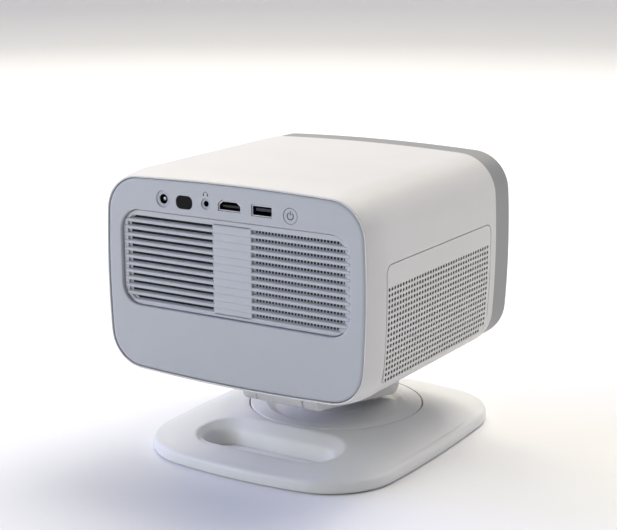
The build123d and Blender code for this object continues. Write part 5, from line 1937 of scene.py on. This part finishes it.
@dataclass
class Ports:
    """Sockets, infrared window and power button, with the marks beside them."""

    socket_y: Pair = (88.2, 102.0)
    socket_depth: float = 11.0
    bore_depth: float = 9.0
    mark_y: Pair = (PORTS_Y - 0.05, PORTS_Y + 0.03)

    def ring_mark(self, centre: Pair, radius: float, width: float, first: float, last: float) -> Draft:
        """Flat printed arc on the panel.

        Args:
            centre: Its middle.
            radius: Radius of its middle line.
            width: Width of its line.
            first: Angle where it starts, in degrees.
            last: Angle where it ends, in degrees.

        Returns:
            The mark.
        """
        turns = [radians(first + (last - first) * i / 40) for i in range(41)]
        under, over = self.mark_y
        rings = []
        for reach, y in ((-1, under), (-1, over), (1, over), (1, under)):
            r = radius + reach * width / 2
            rings.append([(centre[0] - r * cos(a), y, centre[1] + r * sin(a)) for a in turns])
        draft = Draft().skin(rings, closed=False, loop=True)
        for i in (0, -1):
            start = len(draft.points)
            draft.points += [ring[i] for ring in rings]
            draft.faces.append(tuple(range(start, start + 4)))
        return draft

    def bar_mark(self, centre: Pair, width: float, height: float) -> Draft:
        """Flat printed bar on the panel."""
        loop = rounded_rectangle(centre, width, height, min(width, height) * 0.35, 3)
        return Draft().prism(loop, [(y, 0.0) for y in self.mark_y], along_y)

    def lining(self, loop: Sequence[Pair], near: float, tongue: tuple[float, float, float]) -> Draft:
        """Black inside of a flat socket, with its tongue.

        Args:
            loop: Inner edge of the metal shell.
            near: Place along Y where the lining starts.
            tongue: Half width, low and high edge of the tongue.

        Returns:
            The lining.
        """
        inner = drawn_in(loop, 0.05)
        draft = Draft().skin([upright(inner, y) for y in (near, near - self.socket_depth)])
        draft.fill(inner, [], [], lambda x, z: (x, near - self.socket_depth, z))
        half, low, high = tongue
        x = sum(a for a, _ in loop) / len(loop)
        bar = rounded_rectangle((x, (low + high) / 2), 2 * half, high - low, 0.3, 3)
        return draft.prism(bar, [(near - 1.0, 0.12), (near - 1.15, 0.0), (near - 10.9, 0.0)], along_y)

    def bore(self, centre: Pair, radius: float, near: float) -> Draft:
        """Black inside of a round socket.

        Args:
            centre: Middle of the socket.
            radius: Its inner radius.
            near: Place along Y where the lining starts.

        Returns:
            The lining.
        """
        rim = circle(centre, radius, 32)
        draft = Draft().skin([upright(rim, y) for y in (near, near - self.bore_depth)])
        return draft.fill(rim, [], [], lambda x, z: (x, near - self.bore_depth, z))

    def build(self) -> None:
        """Make and dress the ports."""
        dress_nodes(Palette.BLACK, "button_switch")
        dress_nodes(Palette.JACK, "dc_jack", "audio_jack")
        dress_nodes(Palette.LAMP, "ir_window")
        dress_nodes(Palette.BUTTON, "power_button")
        data = [rounded_rectangle(DATA_AT, 13.6 - g, 6.2 - g, 0.4, 4) for g in (0.0, 1.0)]
        for name, outer, inner, tongue, finish in (
            ("video", video_loop(0.0), video_loop(-0.5), (5.75, 163.4, 164.8), Palette.BLACK),
            ("data", data[0], data[1], (5.1, 163.6, 165.4), Palette.BLUE),
        ):
            back, front = self.socket_y
            corners = ((outer, back), (outer, front), (inner, front), (inner, back))
            shell = Draft().skin([upright(loop, y) for loop, y in corners], loop=True)
            shell.place(f"{name}_shell", Body.HEAD, Palette.SOCKET, [f"{name}_port"], 20.0)
            self.lining(inner, front - 0.2, tongue).place(f"{name}_lining", Body.HEAD, finish, crease=20.0)
        self.bore(AUDIO_AT, 1.72, 101.9).place("audio_lining", Body.HEAD, Palette.BLACK)
        self.bore(DC_AT, 2.86, 101.6).place("dc_lining", Body.HEAD, Palette.BLACK)
        profile = [(0.01, 101.15), (0.6, 101.1), (1.0, 100.8), (1.03, 100.4), (1.03, 93.0)]
        pin = Draft().lathe(profile, (DC_AT[0], 0.0, DC_AT[1]), "Y", 24)
        pin.place("dc_pin", Body.HEAD, Palette.PIN)
        mark = self.ring_mark(BUTTON_AT, 2.0, 0.6, 120.0, 420.0)
        mark.join(self.bar_mark((BUTTON_AT[0], BUTTON_AT[1] + 1.7), 0.6, 2.4))
        mark.place("power_symbol", Body.BUTTON, Palette.INK)
        x, z = AUDIO_AT
        sign = self.ring_mark((x, z + 5.5), 1.4, 0.36, 0.0, 180.0)
        for side in (-1, 1):
            sign.join(self.bar_mark((x + side * 1.45, z + 5.1), 0.95, 1.25))
        sign.place("headphone_sign", Body.HEAD, Palette.INK)


@dataclass
class Works:
    """What is inside the head and may show through the slots."""

    dressed: tuple[tuple[Finish, tuple[str, ...]], ...] = (
        (Palette.BLACK, ("light_engine", "fan_frame", "fan_rotor", "board_parts")),
        (Palette.FIN, ("cooling_fins",)),
        (Palette.PIPE, ("heat_pipes",)),
        (Palette.BOARD, ("main_board",)),
    )

    def build(self) -> None:
        """Dress the works."""
        for finish, names in self.dressed:
            dress_nodes(finish, *names)


# The studio


@dataclass
class Studio:
    """Pale floor, soft lights and the camera of the photograph."""

    camera_at: Triple = (-0.4971, 0.8172, 0.3395)
    azimuth: float = 211.894
    elevation: float = 13.524
    roll: float = -0.115
    focal_pixels: float = 1565.17
    picture_width: float = 617.0

    def camera(self) -> None:
        """Camera at the photograph's place, angle and focal length."""
        data = bpy.data.cameras.new("photo_camera")
        data.sensor_width = 36.0
        data.lens = self.focal_pixels * data.sensor_width / self.picture_width
        data.clip_end = 50.0
        camera = bpy.data.objects.new("photo_camera", data)
        turn = Matrix.Identity(4)
        for angle, axis in ((self.azimuth, "Z"), (90 - self.elevation, "X"), (self.roll, "Z")):
            turn = turn @ Matrix.Rotation(radians(angle), 4, axis)
        camera.matrix_world = Matrix.Translation(self.camera_at) @ turn
        bpy.context.scene.collection.objects.link(camera)
        bpy.context.scene.camera = camera

    def floor(self) -> None:
        """Plain pale floor that runs up into a backdrop on all sides."""
        steps = [(0.0, 0.0), (2.6, 0.0), (3.0, 0.05), (3.3, 0.2), (3.5, 0.5), (3.6, 1.1)]
        draft = Draft().skin([level(circle((0.0, 0.0), radius, 64), height) for radius, height in steps])
        mesh = bpy.data.meshes.new("floor")
        mesh.from_pydata(draft.points, [], draft.faces)
        work = bmesh.new()
        work.from_mesh(mesh)
        bmesh.ops.remove_doubles(work, verts=work.verts, dist=0.0001)
        work.to_mesh(mesh)
        work.free()
        mesh.shade_smooth()
        floor = bpy.data.objects.new("floor", mesh)
        bpy.context.scene.collection.objects.link(floor)
        material = bpy.data.materials.new("matt_white_floor")
        material.use_nodes = True
        paint = {"Base Color": linear("#f6f6f6"), "Roughness": 0.9, "Specular IOR Level": 0.1}
        for name, value in paint.items():
            material.node_tree.nodes["Principled BSDF"].inputs[name].default_value = value
        mesh.materials.append(material)

    def light(self, name: str, at: Triple, size: float, watts: float, colour: str) -> None:
        """Square soft light.

        Args:
            name: Name of the light.
            at: Its place in metres.
            size: Its side in metres.
            watts: Its power.
            colour: Its colour.
        """
        data = bpy.data.lights.new(name, "AREA")
        data.size = size
        data.energy = watts
        data.color = linear(colour)[:3]
        lamp = bpy.data.objects.new(name, data)
        way = Vector((0, 0, 0.1)) - Vector(at)
        lamp.matrix_world = Matrix.Translation(at) @ way.to_track_quat("-Z", "Y").to_matrix().to_4x4()
        bpy.context.scene.collection.objects.link(lamp)

    def build(self) -> None:
        """Set the whole studio up."""
        self.camera()
        self.floor()
        self.light("key_light", (-0.5, -1.3, 2.3), 1.6, 33.0, "#fff7ee")
        self.light("back_light", (0.2, -1.5, 2.2), 1.6, 24.0, "#fffcf8")
        self.light("rim_light", (1.6, -1.2, 1.8), 1.5, 24.0, "#fff8d6")
        self.light("side_light", (-1.6, -1.3, 1.8), 1.5, 13.0, "#e8eeff")
        self.light("left_light", (2.2, 0.6, 1.2), 1.5, 38.0, "#bcc2ff")
        self.light("near_light", (1.4, 2.2, 1.2), 1.5, 29.0, "#f8fff6")
        world = bpy.data.worlds.new("studio_air")
        world.use_nodes = True
        world.node_tree.nodes["Background"].inputs["Color"].default_value = linear("#eef2ff")
        world.node_tree.nodes["Background"].inputs["Strength"].default_value = 0.02
        bpy.context.scene.world = world
        bpy.context.scene.view_settings.view_transform = "Standard"


def main() -> None:
    """Build every sub-assembly in order."""
    logging.basicConfig(level=logging.INFO, format="%(message)s")
    Studio().build()
    lattice = lattice_growth()
    Base().build(lattice)
    Turntable().build()
    FoldingArm().build()
    shell = HeadShell()
    shell.build()
    FrontEnd().build()
    SpeakerCover(shell).build()
    RearPanel(shell).build()
    Louvre().build(lattice)
    Ports().build()
    Works().build()


if __name__ == "__main__":
    main()
